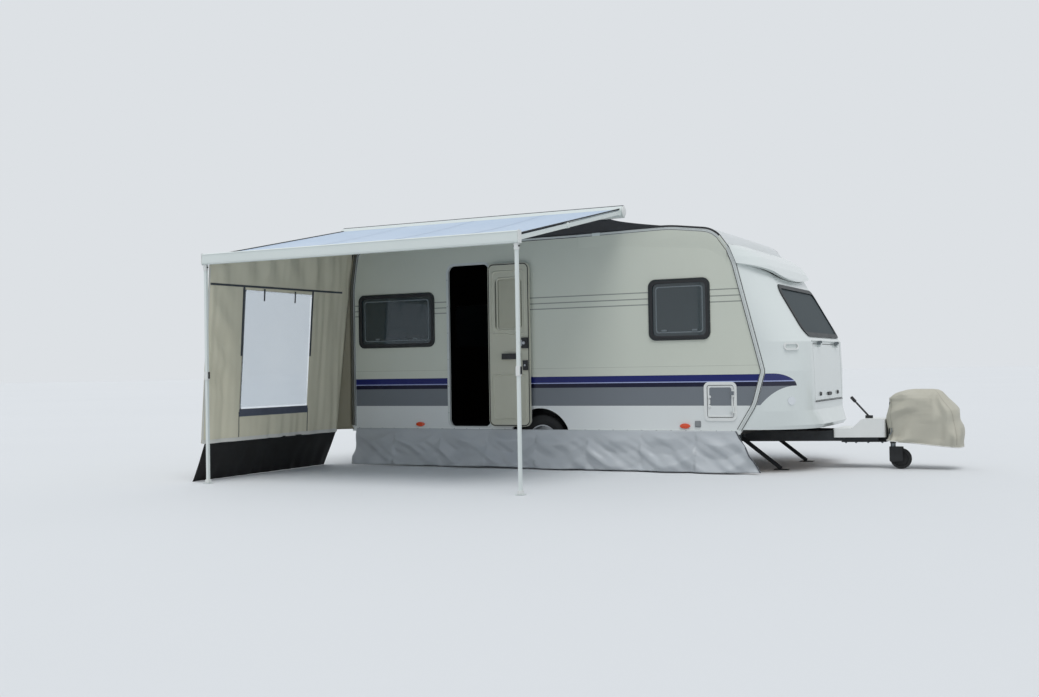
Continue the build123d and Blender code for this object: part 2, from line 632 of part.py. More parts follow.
# Rear light bar, lamps and side markers
bar_x, bar_z0, bar_z1 = LIGHT_BAR
light_bar = cross_slab(rounded(-1090, 1090, bar_z0, bar_z1, 60), bar_x, 0)
light_bar -= cross_slab(rounded(-330, 330, bar_z0 + 60, bar_z1 - 60, 20), bar_x - 1, bar_x + 8)
pieces["rear_light_bar"] = light_bar
rear_lamps = []
for side in (-1, 1):
    inner, outer = sorted((side * 780.0, side * 1040.0))
    rear_lamps.append(cross_slab(rounded(inner, outer, bar_z0 + 70, bar_z1 - 50, 30), bar_x - 16, bar_x))
for side in (-1, 1):
    low, high = sorted((side * HALF_W, side * (HALF_W + 16)))
    for x in (960.0, 4220.0):
        lamps.append(side_slab(rounded(x - 34, x + 34, 474, 504, 10), low, high))
pieces["lamps"] = Compound(lamps + rear_lamps)
pieces["grab_handles"] = Compound(grabs)

# Fridge vents on the far side, with louvre slots
vents = []
for x, z in ((1720.0, 780.0), (1720.0, 1380.0)):
    vent_rows = rounded(x - 220, x + 220, z - 110, z + 110, 18)
    grille = side_slab(vent_rows, HALF_W, HALF_W + 14)
    for k in range(6):
        slot_z = z - 78 + 31 * k
        grille -= block(x - 190, x + 190, HALF_W + 5, HALF_W + 20, slot_z - 8, slot_z + 8)
    vents.append(grille)
pieces["fridge_vents"] = Compound(vents)

# Wheels: x-z turned sections of tyre and rim, hub bored for the stub axle
tyre_rows = [
    (RIM_R, -TYRE_W / 2 + 10, 8.0), (RIM_R + 60, -TYRE_W / 2, 30.0), (TYRE_R, -TYRE_W / 2 + 12, 22.0),
    (TYRE_R, TYRE_W / 2 - 12, 22.0), (RIM_R + 60, TYRE_W / 2, 30.0), (RIM_R, TYRE_W / 2 - 10, 8.0),
]
rim_rows = [
    (STUB_R + RUNNING, -70.0), (112.0, -70.0), (112.0, -8.0), (150.0, 20.0), (RIM_R - 26, 12.0),
    (RIM_R - 26, -74.0), (RIM_R - SEAM, -78.0), (RIM_R - SEAM, 76.0), (RIM_R - 16, 76.0), (RIM_R - 20, 34.0),
    (140.0, 40.0), (84.0, 6.0), (50.0, 6.0), (50.0, 34.0), (STUB_R + RUNNING, 34.0),
]
upright = Plane(origin=(0, 0, 0), x_dir=(1, 0, 0), z_dir=(0, -1, 0))
tyre = revolve(upright * outline(tyre_rows), Axis.Z)
rim = revolve(upright * outline([(a, b, 0.0) for a, b in rim_rows]), Axis.Z)
for k in range(SLOT_COUNT):
    rim -= Rot(0, 0, 360 / SLOT_COUNT * k) * Pos(122, 0, 30) * Cylinder(12, 70)
for name, side in (("right", -1), ("left", 1)):
    seat = Pos(WHEEL_X, side * WHEEL_Y, TYRE_R) * Rot(-90 * side, 0, 0)
    pieces["tyre_" + name] = seat * tyre
    pieces["rim_" + name] = seat * rim

# Axle: hexagonal tube under the rails, arms and stub axles
hexagon = Plane(origin=(WHEEL_X + AXLE_ARM, -ARM_Y, AXLE_Z), x_dir=(1, 0, 0), z_dir=(0, 1, 0))
beam_len = 2 * ARM_Y
beam = extrude(hexagon * RegularPolygon(AXLE_R, 6), beam_len)
for side in (-1, 1):
    low, high = sorted((side * ARM_Y, side * (ARM_Y + ARM_T)))
    arm_rows = [
        (WHEEL_X - 42, TYRE_R - 30, 24.0), (WHEEL_X + AXLE_ARM + 30, AXLE_Z - 46, 24.0),
        (WHEEL_X + AXLE_ARM + 52, AXLE_Z + 44, 24.0), (WHEEL_X - 30, TYRE_R + 42, 24.0),
    ]
    beam += side_slab(arm_rows, low, high)
    stub_end = side * (WHEEL_Y + 40)
    beam += rod((WHEEL_X, side * (ARM_Y + 10), TYRE_R), (WHEEL_X, stub_end, TYRE_R), STUB_R)
rail_z0 = FLOOR_Z - RAIL_H
for side in (-1, 1):
    y = side * RAIL_Y
    beam += block(WHEEL_X + AXLE_ARM - 70, WHEEL_X + AXLE_ARM + 70, y - 30, y + 30, AXLE_Z + 20, rail_z0)
pieces["axle_beam"] = beam

# Chassis rails: open C sections under the floor with a row of lightening holes
rails = []
for side in (-1, 1):
    low, high = sorted((side * (RAIL_Y - RAIL_W / 2), side * (RAIL_Y + RAIL_W / 2)))
    rail = block(RAIL_X0, RAIL_X1, low, high, rail_z0, FLOOR_Z)
    inner_low, inner_high = (low, high - SHEET_T) if side > 0 else (low + SHEET_T, high)
    rail -= block(RAIL_X0 - 1, RAIL_X1 + 1, inner_low - (1 if side > 0 else 0),
                  inner_high + (0 if side > 0 else 1), rail_z0 + SHEET_T, FLOOR_Z - SHEET_T)
    for k in range(8):
        hole_x = 400.0 + 480.0 * k
        rail -= Pos(hole_x, side * RAIL_Y, FLOOR_Z - RAIL_H / 2) * Rot(90, 0, 0) * Cylinder(26, 80)
    rails.append(rail)
pieces["chassis_rails"] = Compound(rails)
crosses = []
inner_rail = RAIL_Y - RAIL_W / 2
for x in CROSS_XS:
    cross = block(x, x + CROSS_W, -inner_rail, inner_rail, FLOOR_Z - CROSS_H, FLOOR_Z)
    crosses.append(cross - block(x + SHEET_T, x + CROSS_W + 1, -inner_rail, inner_rail,
                                 FLOOR_Z - CROSS_H + SHEET_T, FLOOR_Z - SHEET_T))

# Drawbar legs running together towards the coupling, on a head plate
legs = []
leg_run = Vector(DRAW_X1 - RAIL_X1, DRAW_Y1 - RAIL_Y, 0)
leg_turn = math.degrees(math.atan2(leg_run.Y, leg_run.X))
for side in (-1, 1):
    leg = block(0, leg_run.length, -RAIL_W / 2, RAIL_W / 2, rail_z0, FLOOR_Z)
    leg -= block(-1, leg_run.length + 1, -RAIL_W / 2 - (1 if side > 0 else -SHEET_T),
                 RAIL_W / 2 - (SHEET_T if side > 0 else -1), rail_z0 + SHEET_T, FLOOR_Z - SHEET_T)
    leg = Pos(RAIL_X1, side * RAIL_Y, 0) * Rot(0, 0, side * leg_turn) * leg
    legs.append(leg - block(4000, RAIL_X1 + SEAM, -700, 700, 0, 500))
pieces["drawbar_legs"] = Compound(legs)
plate = plan_slab([(5640, -230, 0), (6080, -112, 0), (6080, 112, 0), (5640, 230, 0)],
                  rail_z0 - PLATE_T, rail_z0)
plate -= plan_slab([(5720, -120, 0), (5840, -90, 0), (5840, 90, 0), (5720, 120, 0)],
                   rail_z0 - PLATE_T - 5, rail_z0 + 5)
pieces["cross_members"] = Compound(crosses + [plate])

# Overrun housing, shaft, gaiter and coupling head
housing = side_slab([
    (HOUSING_X0, rail_z0, 0.0), (6080.0, rail_z0, 40.0), (HOUSING_X1, 372.0, 20.0),
    (HOUSING_X1, HOUSING_Z1, 12.0), (HOUSING_X0 + 40, HOUSING_Z1, 30.0), (HOUSING_X0, 420.0, 30.0),
], -HOUSING_HALF, HOUSING_HALF)
housing += rod((HOUSING_X1 - 20, 0, SHAFT_Z), (6560, 0, SHAFT_Z), SHAFT_R)
clamp_z = 395.0
clamp = block(JOCKEY_X - 40, JOCKEY_X + 40, JOCKEY_Y, -HOUSING_HALF, clamp_z - 30, clamp_z + 30)
clamp += Pos(JOCKEY_X, JOCKEY_Y, clamp_z) * Cylinder(JOCKEY_TUBE_R + 12, 60)
clamp -= Pos(JOCKEY_X, JOCKEY_Y, clamp_z) * Cylinder(JOCKEY_TUBE_R + SEAM, 80)
pieces["overrun_housing"] = housing + clamp
gaiter_rows = [(SHAFT_R + SEAM, HOUSING_X1 + SEAM, 0.0)]
for k in range(6):
    gaiter_rows.append((SHAFT_R + 20, HOUSING_X1 + 8 + 24.0 * k, 0.0))
    gaiter_rows.append((SHAFT_R + 10, HOUSING_X1 + 20 + 24.0 * k, 0.0))
gaiter_rows.append((SHAFT_R + SEAM, HOUSING_X1 + 20 + 120.0, 0.0))
gaiter = revolve(upright * outline(gaiter_rows), Axis.Z)
pieces["gaiter"] = Pos(0, 0, SHAFT_Z) * Rot(0, 90, 0) * gaiter
head = side_slab([
    (6500.0, 388.0, 20.0), (COUPLING_X - HEAD_R, SOCKET_Z, 0.0), (COUPLING_X, SOCKET_Z, 0.0),
    (COUPLING_X, SOCKET_Z + 78, 30.0),
    (6580.0, 482.0, 12.0), (6500.0, 470.0, 12.0),
], -34, 34)
head += Pos(COUPLING_X, 0, SOCKET_Z + 33) * Cylinder(HEAD_R, 66)
head += Pos(COUPLING_X, 0, SOCKET_Z + 66) * scale(Sphere(HEAD_R), (1, 1, 0.4))
head -= Pos(COUPLING_X, 0, SOCKET_Z + SOCKET_DEPTH / 2) * Cylinder(BALL_R, SOCKET_DEPTH)
head -= rod((6400, 0, SHAFT_Z), (6560 + SEAM, 0, SHAFT_Z), SHAFT_R + SEAM)
lever_top = (6330.0, 0.0, 808.0)
head += rod((6590, 0, 470), lever_top, 11)
head += Pos(*lever_top) * Sphere(16)
pieces["coupling_head"] = head

# Drawbar cover, a thin moulding over the legs
cover_rows = [
    (5562.0, 330.0, 0.0), (5562.0, 425.0, 14.0), (5750.0, 425.0, 60.0), (5850.0, 525.0, 60.0),
    (6078.0, 525.0, 14.0), (6078.0, 330.0, 0.0),
]
cover_plan = [(5562.0, -292.0, 24.0), (6078.0, -150.0, 24.0), (6078.0, 150.0, 24.0), (5562.0, 292.0, 24.0)]
cover = side_slab(cover_rows, -400, 400) & plan_slab(cover_plan, 300, 600)
hollow_plane = Plane(origin=(0, 400, 0), x_dir=(1, 0, 0), z_dir=(0, -1, 0))
hollow = extrude(hollow_plane * grown(cover_rows, -COVER_T), 800)
hollow += Pos(0, 0, -20) * hollow
hollow &= extrude(Pos(0, 0, 200) * grown(cover_plan, -COVER_T), 500)
cover -= hollow
cover -= block(6000, 6100, -HOUSING_HALF - SEAM, HOUSING_HALF + SEAM, 300, HOUSING_Z1 + SEAM)
cover -= block(5500, 5572, -400, 400, 300, 412)
pieces["drawbar_cover"] = cover

# Handbrake lever standing on the cover
lever = block(5856, 5930, -32, 8, 525, 556) + rod((5896, -12, 540), (5716, -12, 742), 10)
lever += rod((5752, -12, 702), (5708, -12, 752), 16)
pieces["handbrake_lever"] = lever

# Jockey wheel: tube in the clamp, sliding leg, swivelling fork and wheel
tube_mid = (JOCKEY_TUBE_Z0 + JOCKEY_TUBE_Z1) / 2
tube = Pos(JOCKEY_X, JOCKEY_Y, tube_mid) * Cylinder(JOCKEY_TUBE_R, JOCKEY_TUBE_Z1 - JOCKEY_TUBE_Z0)
LEG_R = JOCKEY_TUBE_R - JOCKEY_TUBE_T - RUNNING
tube -= Pos(JOCKEY_X, JOCKEY_Y, (JOCKEY_TUBE_Z0 + 660) / 2 - 1) * Cylinder(
    JOCKEY_TUBE_R - JOCKEY_TUBE_T, 660 - JOCKEY_TUBE_Z0 + 2)
tube += rod((JOCKEY_X, JOCKEY_Y, JOCKEY_TUBE_Z1 - 4), (JOCKEY_X, JOCKEY_Y, JOCKEY_TUBE_Z1 + 34), 10)
tube += rod((JOCKEY_X, JOCKEY_Y, JOCKEY_TUBE_Z1 + 26), (JOCKEY_X + 110, JOCKEY_Y, JOCKEY_TUBE_Z1 + 26), 8)
knob_x = JOCKEY_X + 102
tube += rod((knob_x, JOCKEY_Y, JOCKEY_TUBE_Z1 + 26), (knob_x, JOCKEY_Y, JOCKEY_TUBE_Z1 + 78), 11)
pieces["jockey_tube"] = tube
leg_tube = Pos(JOCKEY_X, JOCKEY_Y, (JOCKEY_LEG_Z0 + LEG_TOP) / 2) * Cylinder(LEG_R, LEG_TOP - JOCKEY_LEG_Z0)
pivot_r = 12.0
leg_tube += Pos(JOCKEY_X, JOCKEY_Y, JOCKEY_LEG_Z0 - 8) * Cylinder(pivot_r, 20)
pieces["jockey_leg"] = leg_tube
fork_top = JOCKEY_LEG_Z0 - SEAM
fork_in = JOCKEY_WHEEL_W / 2 + 5
fork_out = fork_in + 6
fork = block(JOCKEY_X - 34, JOCKEY_X + JOCKEY_TRAIL + 20, JOCKEY_Y - fork_out, JOCKEY_Y + fork_out,
             fork_top - 8, fork_top)
fork_rows = [
    (JOCKEY_X - 34, fork_top, 0.0), (JOCKEY_X - 34, 70.0, 20.0), (JOCKEY_X + JOCKEY_TRAIL + 26, 84.0, 20.0),
    (JOCKEY_X + JOCKEY_TRAIL + 26, 130.0, 20.0), (JOCKEY_X + JOCKEY_TRAIL + 20, fork_top, 0.0),
]
for side in (-1, 1):
    low, high = sorted((JOCKEY_Y + side * fork_in, JOCKEY_Y + side * fork_out))
    fork += side_slab(fork_rows, low, high)
fork -= Pos(JOCKEY_X, JOCKEY_Y, fork_top) * Cylinder(pivot_r + RUNNING, 40)
fork += rod((JOCKEY_X + JOCKEY_TRAIL, JOCKEY_Y - fork_out, JOCKEY_WHEEL_R),
            (JOCKEY_X + JOCKEY_TRAIL, JOCKEY_Y + fork_out, JOCKEY_WHEEL_R), 9)
pieces["jockey_fork"] = fork
jockey_rows = [
    (9 + RUNNING, -30.0, 0.0), (24.0, -30.0, 0.0), (24.0, -12.0, 0.0), (74.0, -12.0, 0.0),
    (80.0, -26.0, 0.0), (JOCKEY_WHEEL_R, -24.0, 10.0), (JOCKEY_WHEEL_R, 24.0, 10.0), (80.0, 26.0, 0.0),
    (74.0, 12.0, 0.0), (24.0, 12.0, 0.0), (24.0, 30.0, 0.0), (9 + RUNNING, 30.0, 0.0),
]
jockey_wheel = revolve(upright * outline(jockey_rows), Axis.Z)
pieces["jockey_wheel"] = (Pos(JOCKEY_X + JOCKEY_TRAIL, JOCKEY_Y, JOCKEY_WHEEL_R)
                          * Rot(90, 0, 0) * jockey_wheel)

# Corner steadies: a pin on the rail, a leg with an eye and a foot plate
steady_pins = []
for name, pivot_x, foot_x, side in STEADIES:
    rail_face = side * (RAIL_Y + RAIL_W / 2)
    if pivot_x > RAIL_X1:
        rail_face = side * (STEADY_Y - STEADY_W / 2 - 16)
    pin_end = side * (STEADY_Y + STEADY_W / 2 + 14)
    pin = rod((pivot_x, rail_face, STEADY_Z), (pivot_x, pin_end, STEADY_Z), STEADY_PIN_R)
    low, high = sorted((rail_face, rail_face + side * 8))
    pin += block(pivot_x - 40, pivot_x + 40, low, high, STEADY_Z - 40, FLOOR_Z)
    low, high = sorted((pin_end - side * 8, pin_end))
    pin += block(pivot_x - 20, pivot_x + 20, low, high, STEADY_Z - 20, FLOOR_Z)
    steady_pins.append(pin)
    y = side * STEADY_Y
    span = Vector(foot_x - pivot_x, 0, FOOT_T - STEADY_Z)
    tilt = math.degrees(math.atan2(-span.Z, span.X))
    arm = block(0, span.length - 8, -STEADY_W / 2, STEADY_W / 2, -STEADY_D / 2, STEADY_D / 2)
    arm -= block(STEADY_EYE_R + 6, span.length + 1, -STEADY_W / 2 + SHEET_T, STEADY_W / 2 - SHEET_T,
                 -STEADY_D / 2 + SHEET_T, STEADY_D / 2 + 1) if foot_x > pivot_x else block(
        STEADY_EYE_R + 6, span.length + 1, -STEADY_W / 2 + SHEET_T, STEADY_W / 2 - SHEET_T,
        -STEADY_D / 2 - 1, STEADY_D / 2 - SHEET_T)
    arm = Pos(pivot_x, y, STEADY_Z) * Rot(0, tilt, 0) * arm
    arm += Pos(pivot_x, y, STEADY_Z) * Rot(90, 0, 0) * Cylinder(STEADY_EYE_R, STEADY_W)
    arm -= Pos(pivot_x, y, STEADY_Z) * Rot(90, 0, 0) * Cylinder(STEADY_PIN_R + RUNNING, STEADY_W + 2)
    arm -= block(0, 6000, -700, 700, -200, FOOT_T)
    arm += block(foot_x - FOOT_L / 2, foot_x + FOOT_L / 2, y - FOOT_W / 2, y + FOOT_W / 2, 0, FOOT_T)
    pieces["steady_" + name] = arm
pieces["steady_pins"] = Compound(steady_pins)

# Hitch cover: a soft hood over coupling and jockey tube, open below


def hood(rows, inset):
    """Tapered hood block from plan rectangles with rounded corners."""
    wires = []
    for z, x0, x1, half_y in rows:
        face = outline(rounded(x0 + inset, x1 - inset, -half_y + inset, half_y - inset, 60))
        wires.append((Pos(0, 0, z) * face).outer_wire())
    return Solid.make_loft(wires, True)


inner_rows = [(HOOD_ROWS[0][0] - 5, *HOOD_ROWS[0][1:])] + HOOD_ROWS[1:-1]
inner_rows += [(HOOD_ROWS[-1][0] - HOOD_T, *HOOD_ROWS[-1][1:])]
hitch_cover = hood(HOOD_ROWS, 0) - hood(inner_rows, HOOD_T)
hitch_cover -= block(6050, 6130, -HOUSING_HALF - 8, HOUSING_HALF + 8, 200, HOUSING_Z1 + 8)
hitch_cover -= side_slab([(6000, 150, 0), (6900, 150, 0), (6900, HEM_FRONT_Z, 0), (6000, HEM_REAR_Z, 0)],
                         -300, 300)
pieces["hitch_cover"] = hitch_cover

# Awning: cassette on brackets, cloth, lead rail, arms and legs
wall_y = -HALF_W - EDGE_TRIM_T - SEAM
cassette_rows = [
    (wall_y, CASSETTE_Z0, 8.0), (wall_y, CASSETTE_Z1, 26.0), (wall_y - 74, CASSETTE_Z1, 34.0),
    (wall_y - CASSETTE_DEPTH, CASSETTE_Z0 + 78, 34.0), (wall_y - CASSETTE_DEPTH + 6, CASSETTE_Z0 + 20, 24.0),
    (wall_y - 74, CASSETTE_Z0, 30.0),
]
cassette = cross_slab(cassette_rows, AWNING_X0, AWNING_X1)
cap_y = wall_y - 60.0
cap_z = (CASSETTE_Z0 + CASSETTE_Z1) / 2
for x in (AWNING_X0 - 8, AWNING_X1):
    cassette += rod((x, cap_y, cap_z), (x + 8, cap_y, cap_z), 52)
pieces["awning_cassette"] = cassette
clear_plane = Plane(origin=(AWNING_X0 - 20, 0, 0), x_dir=(0, 1, 0), z_dir=(1, 0, 0))
cassette_clear = extrude(clear_plane * grown(cassette_rows, SEAM), AWNING_X1 - AWNING_X0 + 40)
brackets = []
for x in (260.0, 1750.0, 3240.0):
    bracket = block(x - 45, x + 45, wall_y - 8, wall_y, 2552, CASSETTE_Z0)
    brackets.append(bracket + block(x - 45, x + 45, wall_y - 70, wall_y, CASSETTE_Z0 - 8, CASSETTE_Z0))
pieces["awning_brackets"] = Compound(brackets)
rail_y = -HALF_W - AWNING_OUT
lead_rows = rounded(rail_y - LEAD_RAIL_W / 2, rail_y + LEAD_RAIL_W / 2, RAIL_Z0, RAIL_Z1, 20)
lead_rail = cross_slab(lead_rows, AWNING_X0, AWNING_X1)
pieces["awning_lead_rail"] = lead_rail
cloth_y0 = rail_y + LEAD_RAIL_W / 2 + SEAM
cloth_y1 = wall_y - CASSETTE_DEPTH + 24
cloth_z0 = RAIL_Z1 - 30.0
cloth_z1 = CASSETTE_Z0 + 84.0
cloth_rows = [(cloth_y0, cloth_z0, 0.0), (cloth_y1, cloth_z1, 0.0), (cloth_y1, cloth_z1 + FABRIC_T, 0.0),
              (cloth_y0, cloth_z0 + FABRIC_T, 0.0)]
cloth = cross_slab(cloth_rows, AWNING_X0 + 20, AWNING_X1 - 20)
pieces["awning_fabric"] = cloth - cassette_clear
frame_bars = []
arm_rows = [(cloth_y0, cloth_z0 - 12 - ARM_H, 0.0), (cloth_y1, cloth_z1 - 12 - ARM_H, 0.0),
            (cloth_y1, cloth_z1 - 12, 0.0), (cloth_y0, cloth_z0 - 12, 0.0)]
for x in (AWNING_X0 + 25, AWNING_X1 - 25):
    frame_bars.append(cross_slab(arm_rows, x - ARM_W / 2, x + ARM_W / 2) - cassette_clear)
for x in (AWNING_X0 + 25, AWNING_X1 - 25):
    leg = block(x - LEG_W / 2, x + LEG_W / 2, rail_y - LEG_W / 2, rail_y + LEG_W / 2, 0, RAIL_Z0)
    leg += block(x - 38, x + 38, rail_y - 38, rail_y + 38, 0, 6)
    leg += block(x - 19, x + 19, rail_y - 19, rail_y + 19, 1060, 1130)
    frame_bars.append(leg)
pieces["awning_poles"] = Compound(frame_bars)

# End panel of the awning with its clear window, ground flap and the caravan's skirt
panel_y0 = rail_y + LEG_W / 2 + 6
panel_y1 = -HALF_W - SILL_T - SEAM
slope = (cloth_z1 - cloth_z0) / (cloth_y1 - cloth_y0)
mouth_y = wall_y - CASSETTE_DEPTH - CLOTH_CLEAR
tail_y = cloth_y0 + CLOTH_CLEAR


def under_cloth(y):
    """Height of the panel's top edge, just below the cloth."""
    return cloth_z0 + slope * (y - cloth_y0) - CLOTH_CLEAR


panel_rows = [
    (panel_y0, PANEL_HEM_Z, 0.0), (panel_y1, PANEL_HEM_Z, 0.0),
    (panel_y1, CASSETTE_Z0 - CLOTH_CLEAR, 0.0), (mouth_y, CASSETTE_Z0 - CLOTH_CLEAR, 0.0),
    (mouth_y, under_cloth(mouth_y), 0.0), (tail_y, under_cloth(tail_y), 0.0),
    (tail_y, RAIL_Z0 - CLOTH_CLEAR, 0.0), (panel_y0, RAIL_Z0 - CLOTH_CLEAR, 0.0),
]
panel = cross_slab(panel_rows, PANEL_X, PANEL_X + FABRIC_T)
out0, out1, z0, z1 = PANEL_WINDOW
film_hole = rounded(-HALF_W - out1, -HALF_W - out0, z0, z1, 30)
panel -= cross_slab(film_hole, PANEL_X - 1, PANEL_X + FABRIC_T + 1)
pieces["end_panel"] = panel
film_plane = Plane(origin=(PANEL_X + 1, 0, 0), x_dir=(0, 1, 0), z_dir=(1, 0, 0))
pieces["end_panel_window"] = extrude(film_plane * grown(film_hole, -SEAM), 2.0)
flap_plane = Plane(origin=(0, panel_y1, 0), x_dir=(1, 0, 0), z_dir=(0, -1, 0))
flap_rows = [
    (PANEL_X, PANEL_HEM_Z - SEAM, 0.0), (PANEL_X + FABRIC_T, PANEL_HEM_Z - SEAM, 0.0),
    (PANEL_X + FABRIC_T - FLAP_OUT, 0.0, 0.0), (PANEL_X - FLAP_OUT, 0.0, 0.0),
]
pieces["ground_flap"] = extrude(flap_plane * outline(flap_rows), panel_y1 - panel_y0 - 60)
skirt_y = -HALF_W - SILL_T - SEAM
skirt_rows = [
    (skirt_y, SKIRT_TOP, 0.0), (skirt_y - SKIRT_OUT, 0.0, 0.0),
    (skirt_y - SKIRT_OUT - FABRIC_T, 0.0, 0.0), (skirt_y - FABRIC_T, SKIRT_TOP, 0.0),
]
pieces["skirt"] = cross_slab(skirt_rows, SKIRT_X0, SKIRT_X1)

# Move everything so that the origin is on the ground, in the middle of the whole object's box
whole = Compound([solid for piece in pieces.values() for solid in piece.solids()])
box = whole.bounding_box()
SHIFT_X = -(box.min.X + box.max.X) / 2
SHIFT_Y = -(box.min.Y + box.max.Y) / 2
SHIFT_Z = -box.min.Z
for name, piece in pieces.items():
    solids = [Pos(SHIFT_X, SHIFT_Y, SHIFT_Z) * solid for solid in piece.solids()]
    export_step(solids[0] if len(solids) == 1 else Compound(solids), "parts/" + name + ".step")
print("nodes", len(pieces), "shift", round(SHIFT_X, 3), round(SHIFT_Y, 3), round(SHIFT_Z, 3))
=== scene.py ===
import json
import math
from itertools import pairwise

import bmesh
import bpy
from mathutils import Matrix, Vector, noise


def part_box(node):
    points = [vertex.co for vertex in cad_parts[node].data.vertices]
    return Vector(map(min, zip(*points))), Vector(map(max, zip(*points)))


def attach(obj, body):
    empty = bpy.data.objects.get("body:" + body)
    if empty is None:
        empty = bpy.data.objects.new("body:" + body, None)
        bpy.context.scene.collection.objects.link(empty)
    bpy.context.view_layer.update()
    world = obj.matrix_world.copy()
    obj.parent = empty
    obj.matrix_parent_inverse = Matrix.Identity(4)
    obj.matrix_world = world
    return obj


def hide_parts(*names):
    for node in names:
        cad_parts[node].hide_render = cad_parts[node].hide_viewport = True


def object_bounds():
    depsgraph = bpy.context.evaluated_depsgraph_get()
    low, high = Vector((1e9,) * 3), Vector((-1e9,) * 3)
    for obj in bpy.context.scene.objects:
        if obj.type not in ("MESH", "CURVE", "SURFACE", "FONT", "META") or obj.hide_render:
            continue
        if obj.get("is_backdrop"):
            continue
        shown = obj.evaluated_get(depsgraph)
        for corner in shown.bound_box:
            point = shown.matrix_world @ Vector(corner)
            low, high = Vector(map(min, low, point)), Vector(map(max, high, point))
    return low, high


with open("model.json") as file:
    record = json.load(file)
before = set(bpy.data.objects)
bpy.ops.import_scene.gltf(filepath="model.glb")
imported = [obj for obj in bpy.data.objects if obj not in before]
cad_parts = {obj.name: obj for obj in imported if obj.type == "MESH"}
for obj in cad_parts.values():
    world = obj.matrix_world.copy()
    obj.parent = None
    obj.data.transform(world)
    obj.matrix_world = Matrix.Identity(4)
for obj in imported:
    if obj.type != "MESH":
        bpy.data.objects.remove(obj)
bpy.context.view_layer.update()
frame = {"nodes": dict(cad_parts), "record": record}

# Places are those of the part's drawing, in metres: x = 0 at the rear wall's outer face,
# y = 0 on the centre plane with the entry side at -y, z = 0 on the ground.
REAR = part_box("rear_wall")[0].x
MID = (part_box("side_wall_right")[0].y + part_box("side_wall_left")[1].y) / 2
SHIFT = Matrix.Translation((REAR, MID, 0))
WALL = 1.150  # outer face of the side walls
DOOR_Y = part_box("entry_door_leaf")[0].y - MID  # inner face of the door, which is folded back
POLE_X = (-0.015, 3.555)  # the awning's legs and arms
LEG_Y = -3.700
AXLE_X, HUB_Y, HUB_Z = 2.520, 1.010, 0.300

# Camera: fitted to the photograph's walls, windows and door
YAW, PITCH, ROLL = (math.radians(a) for a in (26.86, 1.01, -0.94))
ahead = Vector((-math.sin(YAW) * math.cos(PITCH), math.cos(YAW) * math.cos(PITCH), math.sin(PITCH)))
level = Vector((math.cos(YAW), math.sin(YAW), 0))
upward = level.cross(ahead)
right = level * math.cos(ROLL) + upward * math.sin(ROLL)
up = upward * math.cos(ROLL) - level * math.sin(ROLL)
eye = bpy.data.cameras.new("camera")
eye.lens = 40.97
eye.sensor_width = 36.0
camera = bpy.data.objects.new("camera", eye)
camera.matrix_world = Matrix.Translation(SHIFT @ Vector((8.295, -13.034, 1.110))) @ Matrix(
    (right, up, -ahead)).transposed().to_4x4()
bpy.context.scene.collection.objects.link(camera)
bpy.context.scene.camera = camera
bpy.context.scene.view_settings.view_transform = "Standard"


def paint(code):
    """sRGB hex to the linear colour that shaders take."""
    parts = [int(code[i:i + 2], 16) / 255 for i in (0, 2, 4)]
    return [p / 12.92 if p <= 0.04045 else ((p + 0.055) / 1.055) ** 2.4 for p in parts] + [1.0]


def node(tree, kind, links=(), **settings):
    """Adds a shader node; its inputs, in order or by key, take values, outputs or nodes (their first output)."""
    made = tree.nodes.new("ShaderNode" + kind)
    for key, value in settings.items():
        setattr(made, key, value)
    for key, value in links.items() if isinstance(links, dict) else enumerate(links):
        if isinstance(value, bpy.types.Node):
            value = value.outputs[0]
        if isinstance(value, bpy.types.NodeSocket):
            tree.links.new(value, made.inputs[key])
        else:
            made.inputs[key].default_value = value
    return made


def surface(name, light, dark, rough, grain, depth, patch=300.0, metal=0.0, **shader_values):
    """A material in two close tones that change over patch mm, with a bump of grain and depth in mm."""
    made = bpy.data.materials.new(name)
    made.use_nodes = True
    tree = made.node_tree
    shader = tree.nodes["Principled BSDF"]
    place = node(tree, "TexCoord").outputs["Object"]
    patches = node(tree, "TexNoise", {"Vector": place, "Scale": 1000 / patch, "Detail": 4.0, "Roughness": 0.6})
    tone = node(tree, "Mix", {0: patches, 6: paint(light), 7: paint(dark)}, data_type="RGBA")
    wear = node(tree, "MapRange", [patches, 0.3, 0.7, max(0.02, rough - 0.05), rough + 0.05])
    grit = node(tree, "TexNoise", {"Vector": place, "Scale": 1000 / grain, "Detail": 2.0})
    relief = node(tree, "Bump", {"Height": grit, "Distance": depth / 1000, "Strength": 1.0})
    tree.links.new(tone.outputs[2], shader.inputs["Base Color"])
    tree.links.new(wear.outputs[0], shader.inputs["Roughness"])
    tree.links.new(relief.outputs[0], shader.inputs["Normal"])
    shader.inputs["Metallic"].default_value = metal
    for key, value in shader_values.items():
        shader.inputs[key.replace("_", " ")].default_value = value
    return made


def spot_in(made):
    """A material's node tree, with x, y and z of the place that it shades."""
    tree = made.node_tree
    return tree, *node(tree, "SeparateXYZ", [node(tree, "TexCoord").outputs["Object"]]).outputs


def recolour(made, mask, code):
    """Lays a colour over what a material has, where the mask is 1."""
    tree = made.node_tree
    shader = tree.nodes["Principled BSDF"]
    before = shader.inputs["Base Color"].links[0].from_socket
    over = node(tree, "Mix", {0: mask, 6: before, 7: paint(code)}, data_type="RGBA")
    tree.links.new(over.outputs[2], shader.inputs["Base Color"])


